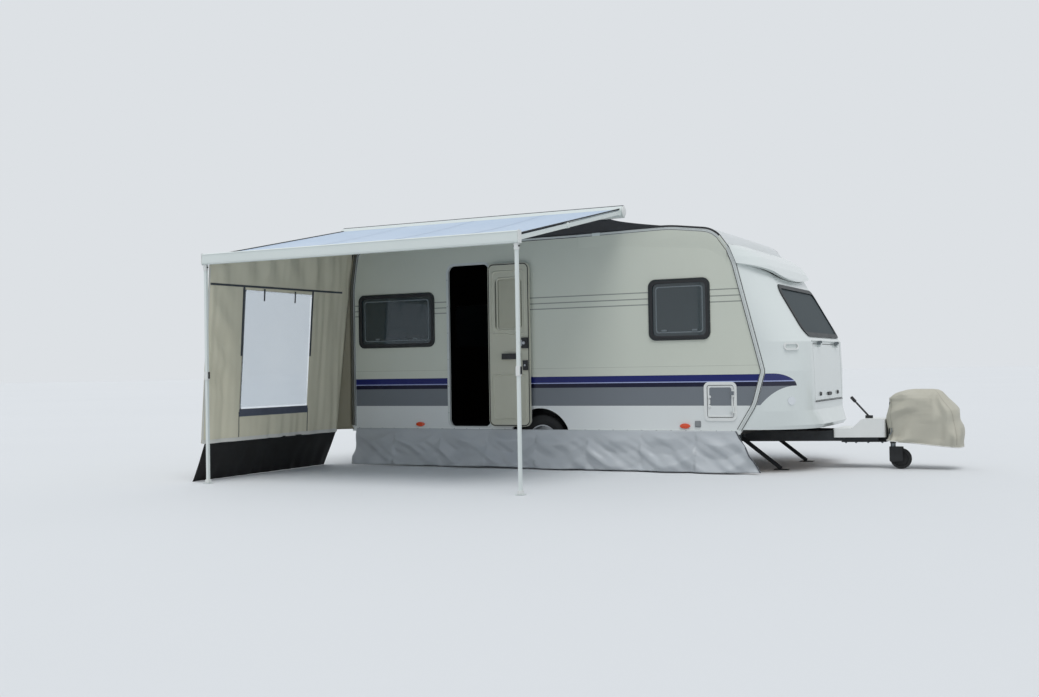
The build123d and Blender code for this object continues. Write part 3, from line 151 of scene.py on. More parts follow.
def woven(made, along, across, thread, depth):
    """Puts a plain weave over a cloth's own bump; thread and depth in mm."""
    tree = made.node_tree
    shader = tree.nodes["Principled BSDF"]
    place = node(tree, "TexCoord").outputs["Object"]
    before = shader.inputs["Normal"].links[0].from_socket
    threads = [node(tree, "TexWave", {"Vector": place, "Scale": 314 / thread, "Distortion": 0.4},
                    bands_direction=axis).outputs[1] for axis in (along, across)]
    cross = node(tree, "Math", threads, operation="MAXIMUM")
    relief = node(tree, "Bump", {"Height": cross, "Distance": depth / 1000, "Strength": 0.7, "Normal": before})
    tree.links.new(relief.outputs[0], shader.inputs["Normal"])


def studio_floor(finish):
    """A disc of three rings, out to the horizon."""
    verts = [(0, 0, -0.002)]
    for r in (8, 40, 260):
        verts += [(r * math.cos(math.radians(6 * k)), r * math.sin(math.radians(6 * k)), -0.002) for k in range(60)]
    faces = []
    for k in range(60):
        a, b = 1 + k, 1 + (k + 1) % 60
        faces += [(0, a, b), (a, a + 60, b + 60, b), (a + 60, a + 120, b + 120, b + 60)]
    mesh = bpy.data.meshes.new("studio_floor")
    mesh.from_pydata(verts, [], faces)
    mesh.materials.append(finish)
    made = bpy.data.objects.new("studio_floor", mesh)
    bpy.context.scene.collection.objects.link(made)
    made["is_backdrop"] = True


# Stage: a wide pale floor, matt so that only the shadow shows on it, under a pale sky and soft light
studio_floor(surface("painted_studio_floor", "dadddf", "d6d9db", 0.9, 60, 0.2, 9000))
world = bpy.data.worlds.new("studio")
bpy.context.scene.world = world
world.use_nodes = True
sky = world.node_tree
# Seen directly, mirrored or through film, the sky is one plain tone; its other tone only lights the part
ray = node(sky, "LightPath").outputs
glossy = node(sky, "Math", [ray["Is Camera Ray"], ray["Is Glossy Ray"]], operation="MAXIMUM")
shown = node(sky, "Math", [glossy, ray["Is Transmission Ray"]], operation="MAXIMUM")
pale = node(sky, "Background", [paint("dde1e5"), 1.0])
lighting = sky.nodes["Background"]
lighting.inputs[0].default_value = paint("f1f5fb")
lighting.inputs[1].default_value = 0.62
both = node(sky, "MixShader", [shown, lighting, pale])
sky.links.new(both.outputs[0], sky.nodes["World Output"].inputs["Surface"])
for name, strength, turn, tilt, spread in (("key", 1.5, 34, 24, 34), ("fill", 0.25, 60, -62, 60)):
    lamp = bpy.data.lights.new(name, "SUN")
    lamp.energy = strength
    lamp.angle = math.radians(spread)
    light = bpy.data.objects.new(name, lamp)
    light.rotation_euler = (math.radians(tilt), 0, math.radians(turn))
    bpy.context.scene.collection.objects.link(light)

# Materials, each named for the real stuff and how it was finished: first those of the record's slots
# Ivory with a faint green in it: the green is painted reflection of grass
IVORY = "cfd3c7"
FINISH = {
    # Ivory stove-enamelled sheet: smooth and half gloss, faintly uneven over its foam core
    "side_panel": surface("enamelled_side_sheet", IVORY, "c6cbbf", 0.38, 420, 0.7, 1400, Specular_IOR_Level=0.32),
    # White stove-enamelled sheet on the roof: duller, with dust in patches
    "roof_skin": surface("enamelled_roof_sheet", "d6dadb", "c6caca", 0.5, 300, 0.8, 500),
    # Vacuum-formed ABS with a gloss face: clean white with a soft orange peel
    "nose_moulding": surface("gloss_moulded_abs", "d9dfdd", "d2d9d7", 0.2, 26, 0.05, 900, Coat_Weight=0.3),
    # Anodised and white-coated aluminium sections: satin, with fine draw lines
    "alloy_trim": surface("coated_trim_extrusion", "cdd2d0", "bfc5c4", 0.38, 9, 0.02, 160),
    "awning_alloy": surface("powder_coated_awning_section", "dde4e1", "d3dbd9", 0.42, 5, 0.03, 700),
    # Hot-dip galvanised steel: grey with large zinc spangles
    "zinc_steel": surface("galvanised_steel", "8b9194", "71787c", 0.46, 14, 0.04, 22, 0.8),
    # Structural steel under a black bitumen coat: matt and slightly rough
    "black_steel": surface("bitumen_coated_steel", "202224", "17181a", 0.6, 6, 0.15, 90),
    # Silver-lacquered pressed steel wheel
    "wheel_steel": surface("lacquered_wheel_steel", "b9bdc0", "a8acb0", 0.34, 12, 0.03, 120, 0.4),
    # Carbon-black tyre rubber: matt, greyer where dust sits
    "tyre": surface("moulded_tyre_rubber", "1c1d1e", "2b2c2c", 0.78, 4, 0.12, 60),
    # Corrugated drawbar gaiter rubber and the jockey wheel's solid rubber
    "gaiter_rubber": surface("moulded_gaiter_rubber", "242527", "303133", 0.6, 4, 0.05, 40),
    "jockey_rubber": surface("moulded_jockey_rubber", "121314", "1b1c1d", 0.7, 4, 0.1, 40),
    # Black polyurethane window surround: satin, with a fine moulded grain
    "window_frame": surface("moulded_window_surround", "141a1c", "1b2123", 0.5, 3, 0.05, 200),
    # Tinted cast acrylic: deep grey, polished, catches the light as one sheen
    "tinted_pane": surface("tinted_cast_acrylic", "303c40", "263236", 0.1, 900, 1.5, 700, Coat_Weight=0.6),
    # Black and white injection-moulded plastics with a spark-eroded grain
    "black_plastic": surface("grained_black_plastic", "1c1d1f", "252628", 0.5, 2.5, 0.05, 60),
    "white_plastic": surface("grained_white_plastic", "e2e4e2", "d8dbd9", 0.4, 2.5, 0.04, 150),
    # Door's inner lining: vacuum-formed, warm white, grained
    "door_skin": surface("moulded_door_lining", "c3c3b2", "b9b9a8", 0.5, 3, 0.05, 400),
    # Birch plywood with rotary-cut grain
    "plywood": surface("rotary_cut_birch_ply", "b08c5e", "96744a", 0.62, 7, 0.2, 35),
    # Moulded acrylic lamp lens: bright and hard, ribbed inside
    "lamp_lens": surface("moulded_lamp_lens", "dfe3e6", "cfd5d9", 0.12, 6, 0.25, 200, Coat_Weight=0.7),
    # Coated canvas, calendered PVC and woven polyester of the awning and covers
    # The awning cloth's pale blue is partly its own grey-blue and partly painted reflection of the sky
    "awning_cloth": surface("acrylic_coated_awning_cloth", "b3c4d6", "a9bbd0", 0.55, 60, 0.5, 900),
    "panel_cloth": surface("beige_coated_polyester", "dedac4", "d4d0b9", 0.66, 40, 0.4, 700),
    "flap_cloth": surface("black_pvc_ground_flap", "040405", "08080a", 0.72, 60, 0.8, 200),
    "skirt_cloth": surface("silver_coated_skirt_cloth", "b9bec1", "afb4b8", 0.36, 50, 0.5, 500),
    "cover_fabric": surface("coated_hitch_cover_canvas", "bcbaac", "b1aea0", 0.62, 30, 0.6, 260),
    # Clear rolled PVC film: mostly see-through, with a soft sheen on its waves
    "clear_film": surface("clear_rolled_film", "e9eef2", "dfe6ec", 0.12, 120, 1.2, 500,
                          Transmission_Weight=0.88, IOR=1.2),
}
# The hatch's sheet is a little glossier than the wall's; the lid is moulded like the nose
hatch_face = surface("enamelled_hatch_sheet", IVORY, "c6cbbf", 0.34, 420, 0.7, 1400)
lid_skin = surface("gloss_moulded_lid", "d9dfdd", "d2d9d7", 0.2, 26, 0.05, 900, Coat_Weight=0.3)
# White-coated sill extrusion, and galvanised sections darkened with painted shade, for their sides that lie in shade
# under the body
sill_and_trim = surface("coated_sill_extrusion", "e4e8e6", "dadfdd", 0.36, 9, 0.02, 300)
zinc_sections_painted_shade = surface("galvanised_section_painted_shade", "33373a", "25282b", 0.6, 12, 0.05, 60, 0.3)
# Moulded seal rubber, finer than the tyres'
soft_rubber = surface("moulded_black_rubber", "1d1e20", "28292b", 0.66, 5, 0.06, 50)
# Grey border printed on the acrylic panes, and a moulded cover with a spark-eroded grain
acrylic_border = surface("grey_acrylic_border", "6d767a", "626b6f", 0.3, 4, 0.05, 90)
grey_abs = surface("grey_moulded_cover", "8b8f91", "7f8385", 0.5, 3, 0.05, 60)
# Moulded lenses: amber-red at the sides, red above the rear window
marker_lens = surface("moulded_marker_lens", "e24a12", "cf3d0c", 0.14, 5, 0.2, 60, Coat_Weight=0.6)
red_lens = surface("red_moulded_lens", "8d1014", "7a0d11", 0.15, 5, 0.2, 60)
# Reflective sheet laminated on a pressed plate, left blank
plate_sheet = surface("blank_reflective_plate", "dfe0d8", "d6d7cf", 0.4, 2, 0.03, 90)
# The gusset's beige cloth darkened with painted shade, the apron's dark cloth as painted shade under the cassette, and
# the blind's pleated cloth
painted_shade_gusset = surface("beige_gusset_cloth_painted_shade", "8f8a76", "837e6a", 0.66, 40, 0.4, 300)
apron_painted_shade = surface("dark_apron_cloth_painted_shade", "25272a", "303236", 0.5, 40, 0.5, 200)
blind_cloth = surface("pleated_blind_cloth", "b9b9a7", "aeae9c", 0.7, 5, 0.1, 200)
# Woven tapes, bands and a welt sewn on the cloths, and foam under a cover darkened with painted shade
zip_tape = surface("woven_zip_tape", "3e4247", "4a4e53", 0.7, 3, 0.2, 40)
hem_webbing = surface("woven_hem_webbing", "dcdcd6", "cfcfc8", 0.7, 4, 0.3, 90)
blue_welt = surface("dark_blue_welt", "27306b", "1f275a", 0.6, 5, 0.1, 80)
blue_grey = surface("blue_grey_band", "565c6b", "4b5160", 0.6, 4, 0.2, 70)
seam_tape = surface("canvas_seam_tape", "a9a598", "9d998c", 0.7, 4, 0.2, 60)
foam_strip_painted_shade = surface("foam_strip_cover_painted_shade", "4a4a42", "55554b", 0.6, 8, 0.3, 60)
# Threads are drawn at 4 mm, where the real ones are 0.5 mm, so that they show close up
for slot, along, across, depth in (("awning_cloth", "X", "Y", 0.25), ("panel_cloth", "Y", "Z", 0.25),
                                   ("skirt_cloth", "X", "Z", 0.2), ("cover_fabric", "X", "Z", 0.3)):
    woven(FINISH[slot], along, across, 4.0, depth)


def inner_faces(made):
    """Mask for faces of the shell that look into the cabin: of its side walls, rear wall and roof."""
    tree, x, y, z = spot_in(made)
    face_x, face_y, face_z = node(tree, "SeparateXYZ", [node(tree, "NewGeometry").outputs["Normal"]]).outputs
    off = node(tree, "Math", [y, MID], operation="SUBTRACT")
    inwards = node(tree, "Math", [face_y, off], operation="MULTIPLY")
    side = node(tree, "Math", [inwards, -0.6], operation="LESS_THAN")
    behind = node(tree, "Math", [x, REAR + 0.6], operation="LESS_THAN")
    forward = node(tree, "Math", [face_x, 0.5], operation="GREATER_THAN")
    rear = node(tree, "Math", [behind, forward], operation="MULTIPLY")
    under = node(tree, "Math", [face_z, -0.6], operation="LESS_THAN")
    high = node(tree, "Math", [z, 2.3], operation="GREATER_THAN")
    roof = node(tree, "Math", [under, high], operation="MULTIPLY")
    found = node(tree, "Math", [side, rear], operation="MAXIMUM")
    return node(tree, "Math", [found, roof], operation="MAXIMUM")


# Vinyl bands on both sides: lower z, upper z, colour
BLUE_LOW = 0.898
LINE_LOW, LINE_HIGH = 0.944, 0.954
GREY, DARK_BLUE, PALE_BLUE, BLUE = "72787e", "04072a", "a5afd8", "121d64"
SIDE_BANDS = [(0.399, 0.699, "dadedd"), (0.699, BLUE_LOW, GREY), (BLUE_LOW, LINE_LOW, DARK_BLUE),
              (LINE_LOW, LINE_HIGH, PALE_BLUE), (LINE_HIGH, 1.022, BLUE), (1.112, 1.117, "b4b8ac"),
              (1.772, 1.784, "8f948d"), (1.834, 1.846, "8f948d"), (1.901, 1.913, "8f948d")]
EVERYWHERE = -9.0


def banded(made, past_y=EVERYWHERE):
    """Lays the side bands over a material, by height; past a place in y, over an ivory ground."""
    tree, _, y, z = spot_in(made)
    past = node(tree, "Math", [y, past_y], operation="GREATER_THAN")
    if past_y > EVERYWHERE:
        recolour(made, past, IVORY)
    for z0, z1, code in SIDE_BANDS:
        mask = node(tree, "Math", [z, (z0 + z1) / 2, (z1 - z0) / 2], operation="COMPARE")
        recolour(made, node(tree, "Math", [mask, past], operation="MULTIPLY"), code)


def nose_bands(made):
    """The bands run on over the nose's corners: blue to a rounded point, grey to a hollow taper."""
    tree, x, _, z = spot_in(made)
    point = REAR + 5.357
    near = node(tree, "Math", [x, point], operation="LESS_THAN")
    along = node(tree, "MapRange", [x, REAR + 5.02, point, 1.0, 0.0])
    hollow = node(tree, "Math", [along, 2.0], operation="POWER")
    grey_low = node(tree, "Math", [hollow, -0.195, BLUE_LOW], operation="MULTIPLY_ADD")
    turn = node(tree, "MapRange", [x, REAR + 5.15, point, 0.0, 1.0])
    square = node(tree, "Math", [turn, turn], operation="MULTIPLY")
    rest = node(tree, "Math", [1.0, square], operation="SUBTRACT")
    bow = node(tree, "Math", [rest], operation="SQRT")
    blue_high = node(tree, "Math", [bow, 0.128, BLUE_LOW], operation="MULTIPLY_ADD")
    above_grey = node(tree, "Math", [z, grey_low], operation="GREATER_THAN")
    below_mid = node(tree, "Math", [z, BLUE_LOW], operation="LESS_THAN")
    above_mid = node(tree, "Math", [z, BLUE_LOW], operation="GREATER_THAN")
    below_blue = node(tree, "Math", [z, blue_high], operation="LESS_THAN")
    lower = node(tree, "Math", [z, LINE_LOW], operation="LESS_THAN")
    line = node(tree, "Math", [z, (LINE_LOW + LINE_HIGH) / 2, (LINE_HIGH - LINE_LOW) / 2],
                operation="COMPARE")
    for first, second, code in ((above_grey, below_mid, GREY), (above_mid, below_blue, BLUE),
                                (above_mid, lower, DARK_BLUE), (line, below_blue, PALE_BLUE)):
        overlap = node(tree, "Math", [first, second], operation="MULTIPLY")
        inside = node(tree, "Math", [overlap, below_blue], operation="MULTIPLY")
        recolour(made, node(tree, "Math", [inside, near], operation="MULTIPLY"), code)


def lamp_colours(made):
    """Amber side markers, and red lamps with an amber and a clear zone at the rear."""
    tree, x, y, z = spot_in(made)
    off = node(tree, "Math", [y, MID], operation="SUBTRACT")
    wide = node(tree, "Math", [off], operation="ABSOLUTE")
    low = node(tree, "Math", [z, 0.52], operation="LESS_THAN")
    outer = node(tree, "Math", [wide, 1.148], operation="GREATER_THAN")
    rear = node(tree, "Math", [x, REAR], operation="LESS_THAN")
    clear = node(tree, "Math", [wide, 0.865], operation="LESS_THAN")
    amber = node(tree, "Math", [wide, 0.965], operation="GREATER_THAN")
    recolour(made, node(tree, "Math", [low, outer], operation="MULTIPLY"), "f0671c")
    recolour(made, rear, "8d1014")
    for zone, code in ((clear, "d9dcdd"), (amber, "d9731a")):
        recolour(made, node(tree, "Math", [rear, zone], operation="MULTIPLY"), code)


def dull_in_front(made):
    """Takes most of the sheen off what lies in the nose: the photograph shows the front pane dark."""
    tree, x, _, _ = spot_in(made)
    shader = tree.nodes["Principled BSDF"]
    for name, sheen, dulled in (("Specular IOR Level", 0.5, 0.06), ("Coat Weight", 0.6, 0.0),
                                ("Roughness", 0.1, 0.42)):
        share = node(tree, "MapRange", [x, REAR + 4.75, REAR + 4.85, sheen, dulled])
        tree.links.new(share.outputs[0], shader.inputs[name])


def above(made, height, code):
    """Lays a colour over everything above a height."""
    tree, _, _, z = spot_in(made)
    recolour(made, node(tree, "Math", [z, height], operation="GREATER_THAN"), code)


banded(FINISH["side_panel"])
banded(hatch_face)
nose_bands(FINISH["nose_moulding"])
# A very dark brown on every face of the shell that looks inwards
for slot in ("side_panel", "nose_moulding", "roof_skin"):
    recolour(FINISH[slot], inner_faces(FINISH[slot]), "1b1511")
dull_in_front(FINISH["tinted_pane"])
# The door's outer skin, towards the wall while the door is folded back, carries the wall's bands
banded(FINISH["door_skin"], MID - 1.183)
lamp_colours(FINISH["lamp_lens"])
# A dark band along the top of the cassette, and the brighter sill rail below the ivory trims
above(FINISH["awning_alloy"], 2.8425, "2b2f38")
above(sill_and_trim, 0.4505, "cdd2d0")

# The frame's nodes take the material of their slot in the record, or their own
# The drawbar, cross members and steadies take galvanised steel darkened with painted shade
OWN_FINISH = {
    "service_hatch": hatch_face, "service_hatch_frame": FINISH["white_plastic"], "gas_locker_lid": lid_skin,
    "body_trims": sill_and_trim, "drawbar_legs": zinc_sections_painted_shade, "cross_members": zinc_sections_painted_shade,
    "steady_front_right": zinc_sections_painted_shade, "steady_front_left": zinc_sections_painted_shade, "steady_rear_right": zinc_sections_painted_shade,
    "steady_rear_left": zinc_sections_painted_shade, "floor_panel": FINISH["black_steel"],
}
for part in frame["record"]["subparts"]:
    dressed = frame["nodes"][part["node"]]
    dressed.data.materials.clear()
    dressed.data.materials.append(OWN_FINISH.get(part["node"], FINISH[part["material_slot"]]))

# Mesh making, in drawing places
SOFT = 80.0  # crease angle of cloth and tape, in degrees


def solid_of(name, shape, slot=None, finish=None, body="caravan", crease=35.0):
    """Turns a bmesh in drawing places into a piece that rides on a body, in its slot's finish or its own."""
    bmesh.ops.remove_doubles(shape, verts=shape.verts, dist=1e-6)
    bmesh.ops.recalc_face_normals(shape, faces=shape.faces)
    bmesh.ops.transform(shape, matrix=SHIFT, verts=shape.verts)
    mesh = bpy.data.meshes.new(name)
    shape.to_mesh(mesh)
    shape.free()
    for face in mesh.polygons:
        face.use_smooth = True
    mesh.set_sharp_from_angle(angle=math.radians(crease))
    mesh.materials.append(finish or FINISH[slot])
    made = bpy.data.objects.new(name, mesh)
    bpy.context.scene.collection.objects.link(made)
    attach(made, body)
    return made


def slab(shape, x0, x1, y0, y1, z0, z1, edge=0.002):
    """A block with rolled edges."""
    block = bmesh.new()
    bmesh.ops.create_cube(block, size=1.0)
    middle = Vector(((x0 + x1) / 2, (y0 + y1) / 2, (z0 + z1) / 2))
    bmesh.ops.scale(block, vec=(x1 - x0, y1 - y0, z1 - z0), verts=block.verts[:])
    bmesh.ops.translate(block, vec=middle, verts=block.verts[:])
    bmesh.ops.bevel(block, geom=block.edges[:], offset=edge, segments=2, affect="EDGES")
    # Copied in the order of its places, because the bevel's own order differs from run to run
    corners = {v: shape.verts.new(v.co) for v in sorted(block.verts, key=lambda v: v.co[:])}
    for face in sorted(block.faces, key=lambda f: f.calc_center_median()[:]):
        ring = list(face.verts)
        first = ring.index(min(ring, key=lambda v: v.co[:]))
        shape.faces.new([corners[v] for v in ring[first:] + ring[:first]])
    block.free()


def blocks(name, slot, rows, finish=None, body="caravan"):
    """A piece made of slabs, each from x0, x1, y0, y1, z0, z1 and its edge."""
    shape = bmesh.new()
    for row in rows:
        slab(shape, *row)
    solid_of(name, shape, slot, finish, body)


def join_rows(shape, rows, closed=False, looped=False):
    """Joins rows of places into faces; closed rows meet themselves, looped ones end at the first row."""
    made = [[shape.verts.new(place) for place in row] for row in rows]
    for low, high in pairwise(made + made[:1] if looped else made):
        for k in range(len(low) if closed else len(low) - 1):
            after = (k + 1) % len(low)
            shape.faces.new((low[k], low[after], high[after], high[k]))
    return made


def circle(centre, aside, across, radius, sides):
    """Places round a circle, in the plane of two directions."""
    turns = [2 * math.pi * k / sides for k in range(sides)]
    return [centre + radius * (aside * math.cos(turn) + across * math.sin(turn)) for turn in turns]


def turned(shape, rows, centre, axis, sides=32):
    """A shape turned about an axis from rows of (radius, distance along the axis)."""
    axis = Vector(axis).normalized()
    aside = axis.orthogonal().normalized()
    across = axis.cross(aside)
    rings = join_rows(shape, [circle(Vector(centre) + axis * run, aside, across, radius, sides)
                              for radius, run in rows], closed=True)
    for end in (0, -1):
        if rows[end][0] > 0:
            shape.faces.new(rings[end])


def bead(shape, path, radius, sides=8, closed=False):
    """A round bar along a path of places."""
    points = [Vector(p) for p in path]
    count = len(points)
    rings = []
    for i, here in enumerate(points):
        before = points[i - 1] if closed or i else here
        after = points[(i + 1) % count] if closed or i < count - 1 else here
        run = (after - before).normalized()
        aside = run.cross(Vector((0.31, 0.17, 0.93))).normalized()
        rings.append(circle(here, aside, run.cross(aside), radius, sides))
    rings = join_rows(shape, rings, closed=True, looped=closed)
    if not closed:
        shape.faces.new(rings[0])
        shape.faces.new(rings[-1])


def corner_path(a0, a1, b0, b1, radius, steps=6):
    """Points round a rectangle with rounded corners, as (a, b)."""
    out = []
    for a, b, start in ((a1, b1, 0), (a0, b1, 90), (a0, b0, 180), (a1, b0, 270)):
        centre_a = a - radius if a == a1 else a + radius
        centre_b = b - radius if b == b1 else b + radius
        for k in range(steps + 1):
            turn = math.radians(start + 90 * k / steps)
            out.append((centre_a + radius * math.cos(turn), centre_b + radius * math.sin(turn)))
    return out


def on_wall(where, a, z, proud):
    """A place on a wall or on the door's lining, so far proud of it."""
    if where == "rear":
        return -proud, a, z
    return a, {"right": -WALL - proud, "left": WALL + proud, "door": DOOR_Y - 0.0002 - proud}[where], z


def moulding(shape, where, a0, a1, z0, z1, corner, profile):
    """A moulding round a rectangle on a wall, from rows of (inset, how far proud)."""
    join_rows(shape, [[on_wall(where, a, z, proud) for a, z in corner_path(
        a0 + inset, a1 - inset, z0 + inset, z1 - inset, corner)] for inset, proud in profile], closed=True)


def cloth(name, slot, rows, replaced, finish=None, gap=None, thick=0.0012,
          body="caravan"):
    """A sheet from rows of places, with cells left out where gap says so; it replaces a plain solid."""
    shape = bmesh.new()
    grid = [[shape.verts.new(place) for place in row] for row in rows]
    for i, (low, high) in enumerate(pairwise(grid)):
        for j in range(len(low) - 1):
            if gap is None or not gap(rows[i][j], rows[i + 1][j + 1]):
                shape.faces.new((low[j], low[j + 1], high[j + 1], high[j]))
    loose = [v for v in shape.verts if not v.link_faces]
    bmesh.ops.delete(shape, geom=loose, context="VERTS")
    made = solid_of(name, shape, slot, finish, body, SOFT)
    thickness = made.modifiers.new("thickness", "SOLIDIFY")
    thickness.thickness = thick
    thickness.offset = 0
    for node_name in replaced:
        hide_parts(node_name)


def span(start, end, count):
    """Evenly spaced values, both ends included."""
    return [start + (end - start) * k / count for k in range(count + 1)]


def wave(x, y, z):
    """Smooth unevenness between -1 and 1."""
    return noise.noise(Vector((x, y, z)))


# Awning cloth: stretched from the cassette's mouth to the lead rail, sagging a little between
AWNING_X = (-0.020, 3.560)
CLOTH_LOW = (-3.6697, 2.316)  # y and z at the lead rail
CLOTH_HIGH = (-1.2533, 2.808)  # y and z at the cassette
SEWN = span(CLOTH_LOW[0], CLOTH_HIGH[0], 24)


def cloth_top(x, y):
    """Height of the awning cloth."""
    run = (y - CLOTH_LOW[0]) / (CLOTH_HIGH[0] - CLOTH_LOW[0])
    inner = math.sin(math.pi * (x - AWNING_X[0]) / (AWNING_X[1] - AWNING_X[0])) ** 0.5 if 0 < run < 1 else 0
    sag = 0.028 * inner * math.sin(math.pi * min(max(run, 0), 1))
    ripple = 0.004 * inner * wave(x * 1.6, y * 0.9, 4.0)
    return CLOTH_LOW[1] + (CLOTH_HIGH[1] - CLOTH_LOW[1]) * run - sag + ripple


xs = span(AWNING_X[0] + 0.0001, AWNING_X[1] - 0.0001, 60)
cloth("awning_cloth_sheet", "awning_cloth",
      [[(x, y, cloth_top(x, y)) for x in xs] for y in span(CLOTH_LOW[0], CLOTH_HIGH[0], 36)],
      ["awning_fabric"], thick=0.003)

# Dark blue welt where the cloth leaves the cassette, and seams along its four widths
shape = bmesh.new()
bead(shape, [(x, CLOTH_HIGH[0] + 0.002, CLOTH_HIGH[1] + 0.010) for x in span(-0.03, 3.57, 12)], 0.009)
solid_of("cloth_welt", shape, finish=blue_welt)
shape = bmesh.new()
for x in (0.87, 1.77, 2.67):
    join_rows(shape, [[(a, y, cloth_top(a, y) + 0.0032) for a in (x - 0.011, x + 0.011)] for y in SEWN])
solid_of("cloth_seams", shape, "awning_cloth", crease=SOFT)

# Cassette: end caps' rings, and a drip rail along its front
CAP = ((0.050, -0.002), (0.056, 0.001), (0.056, 0.006), (0.048, 0.010), (0.020, 0.012), (0.0, 0.012))
shape = bmesh.new()
for x, out in ((-0.050, -1), (3.590, 1)):
    turned(shape, [(radius, run * out) for radius, run in CAP], (x, -1.2193, 2.788), (1, 0, 0), 40)
solid_of("cassette_end_caps", shape, "white_plastic")
blocks("cassette_drip_rails", "awning_alloy", [(-0.038, 3.578, -1.2765, -1.2705, 2.728, 2.742, 0.001)])

# Lead rail: end caps, and mouldings along its foot and under its crown
blocks("lead_rail_end_caps", "white_plastic",
       [(x, x + 0.012, -3.732, -3.668, 2.228, 2.348, 0.005) for x in (-0.052, 3.580)])
blocks("lead_rail_mouldings", "awning_alloy",
       [(-0.038, 3.578, -3.7325, -3.7285, z - 0.003, z + 0.003, 0.001) for z in (2.2395, 2.3315)])

# Legs: inner tubes' clamps with levers, top brackets and foot pads; arms: elbows and end brackets
COLLARS = ((0.021, 0.0215, 1.050, 1.142, 0.005), (0.020, 0.0200, 2.170, 2.234, 0.004),
           (0.024, 0.0240, 0.006, 0.040, 0.004))
blocks("leg_collars", "white_plastic",
       [(x - half, x + half, LEG_Y - deep, LEG_Y + deep, z0, z1, edge)
        for x in POLE_X for half, deep, z0, z1, edge in COLLARS])
shape = bmesh.new()
for x in POLE_X:
    slab(shape, x + 0.0205, x + 0.0335, -3.709, -3.691, 1.066, 1.136, 0.003)
    turned(shape, [(0.0, -0.030), (0.008, -0.029), (0.008, 0.029), (0.0, 0.030)], (x, LEG_Y, 2.205), (1, 0, 0), 16)
solid_of("leg_clamp_levers", shape, "black_plastic")
ELBOW = ((0.0, -0.026), (0.026, -0.024), (0.029, 0.0), (0.026, 0.024), (0.0, 0.026))
elbow_y, arm_slope, arm_drop = -2.62, 0.2036, 0.033
elbow_z = CLOTH_LOW[1] + (elbow_y - CLOTH_LOW[0]) * arm_slope - arm_drop
shape = bmesh.new()
for x in POLE_X:
    turned(shape, ELBOW, (x, elbow_y, elbow_z), (1, 0, 0), 24)
    slab(shape, x - 0.018, x + 0.018, -1.300, -1.262, 2.738, 2.792, 0.004)
    slab(shape, x - 0.018, x + 0.018, -3.672, -3.640, 2.262, 2.312, 0.004)
solid_of("arm_elbows", shape, "awning_alloy")

# Side profile of the body, as x, z and corner radius, and the fuller line of its roof's front corner
BODY_PROFILE = [
    (0.000, 0.460, 0.0), (0.000, 2.120, 0.900), (0.075, 2.592, 0.110), (3.400, 2.600, 4.000),
    (4.520, 2.505, 0.420), (4.722, 2.372, 0.150), (4.800, 2.180, 0.500), (4.890, 1.820, 3.000),
    (5.084, 1.050, 0.120), (4.985, 0.700, 0.400), (4.820, 0.432, 0.0),
]
FULL_CORNER = [(3.000, 2.5998, 0.0), (4.080, 2.6160, 1.500), (4.560, 2.5560, 0.300), (4.765, 2.340, 0.0)]


def rounded_run(rows, steps=10):
    """A run of places from corners (x, z, radius), each corner turned through an arc."""
    out = [Vector(rows[0][:2])]
    for before, here, after in zip(rows, rows[1:], rows[2:]):
        point = Vector(here[:2])
        back = (Vector(before[:2]) - point).normalized()
        front = (Vector(after[:2]) - point).normalized()
        half = back.angle(front) / 2
        start = point + back * here[2] / math.tan(half)
        end = point + front * here[2] / math.tan(half)
        middle = point + (back + front).normalized() * here[2] / math.sin(half)
        for k in range(steps + 1):
            spoke = (start - middle).lerp(end - middle, k / steps).normalized()
            out.append(middle + spoke * here[2])
    return out + [Vector(rows[-1][:2])]


def inset_run(points, inset):
    """The same run, moved towards the wall's middle."""
    out = []
    for i, point in enumerate(points):
        run = (points[min(i + 1, len(points) - 1)] - points[max(i - 1, 0)]).normalized()
        out.append(point + Vector((run.y, -run.x)) * inset)
    return out


wall_run = rounded_run(BODY_PROFILE)
edge_run = [p for p in wall_run if p.x < 2.9]
edge_run += rounded_run(FULL_CORNER)[:-1]
edge_run += [p for p in wall_run if p.x > 4.7 and p.y < 2.335]


def height_at(run, x):
    """Height of a run over a place along the wall, on its upper side."""
    for a, b in pairwise(run):
        if a.x <= x <= b.x and b.x > a.x and a.y > 2.3:
            return a.y + (b.y - a.y) * (x - a.x) / (b.x - a.x)
    return FULL_CORNER[-1][1]


def rear_edge_x(z):
    """How far the wall's rear edge lies from x = 0, at a height."""
    for a, b in pairwise(wall_run):
        if a.y <= z <= b.y and b.y > a.y and a.x < 0.3:
            return a.x + (b.x - a.x) * (z - a.y) / (b.y - a.y)
    return 0.030


# End panel: hangs from the awning's edge, leans out to its hem, with folds round its window
LEAN = math.radians(4.3)
PANEL_Z = (0.400, 2.232, 2.716)  # hem, foot of the gable, top beside the wall
PANEL_Y = (-3.680, -1.1603)
WINDOW_Y = (-3.107, -1.935)
WINDOW_Z = (0.730, 2.008)


def stiffness(y, z):
    """How freely the panel folds: little in and beside its window, more towards its edges."""
    off = max(WINDOW_Y[0] - y, y - WINDOW_Y[1], WINDOW_Z[0] - z, z - WINDOW_Z[1], 0)
    return min(1, 0.12 + off * 3.2)


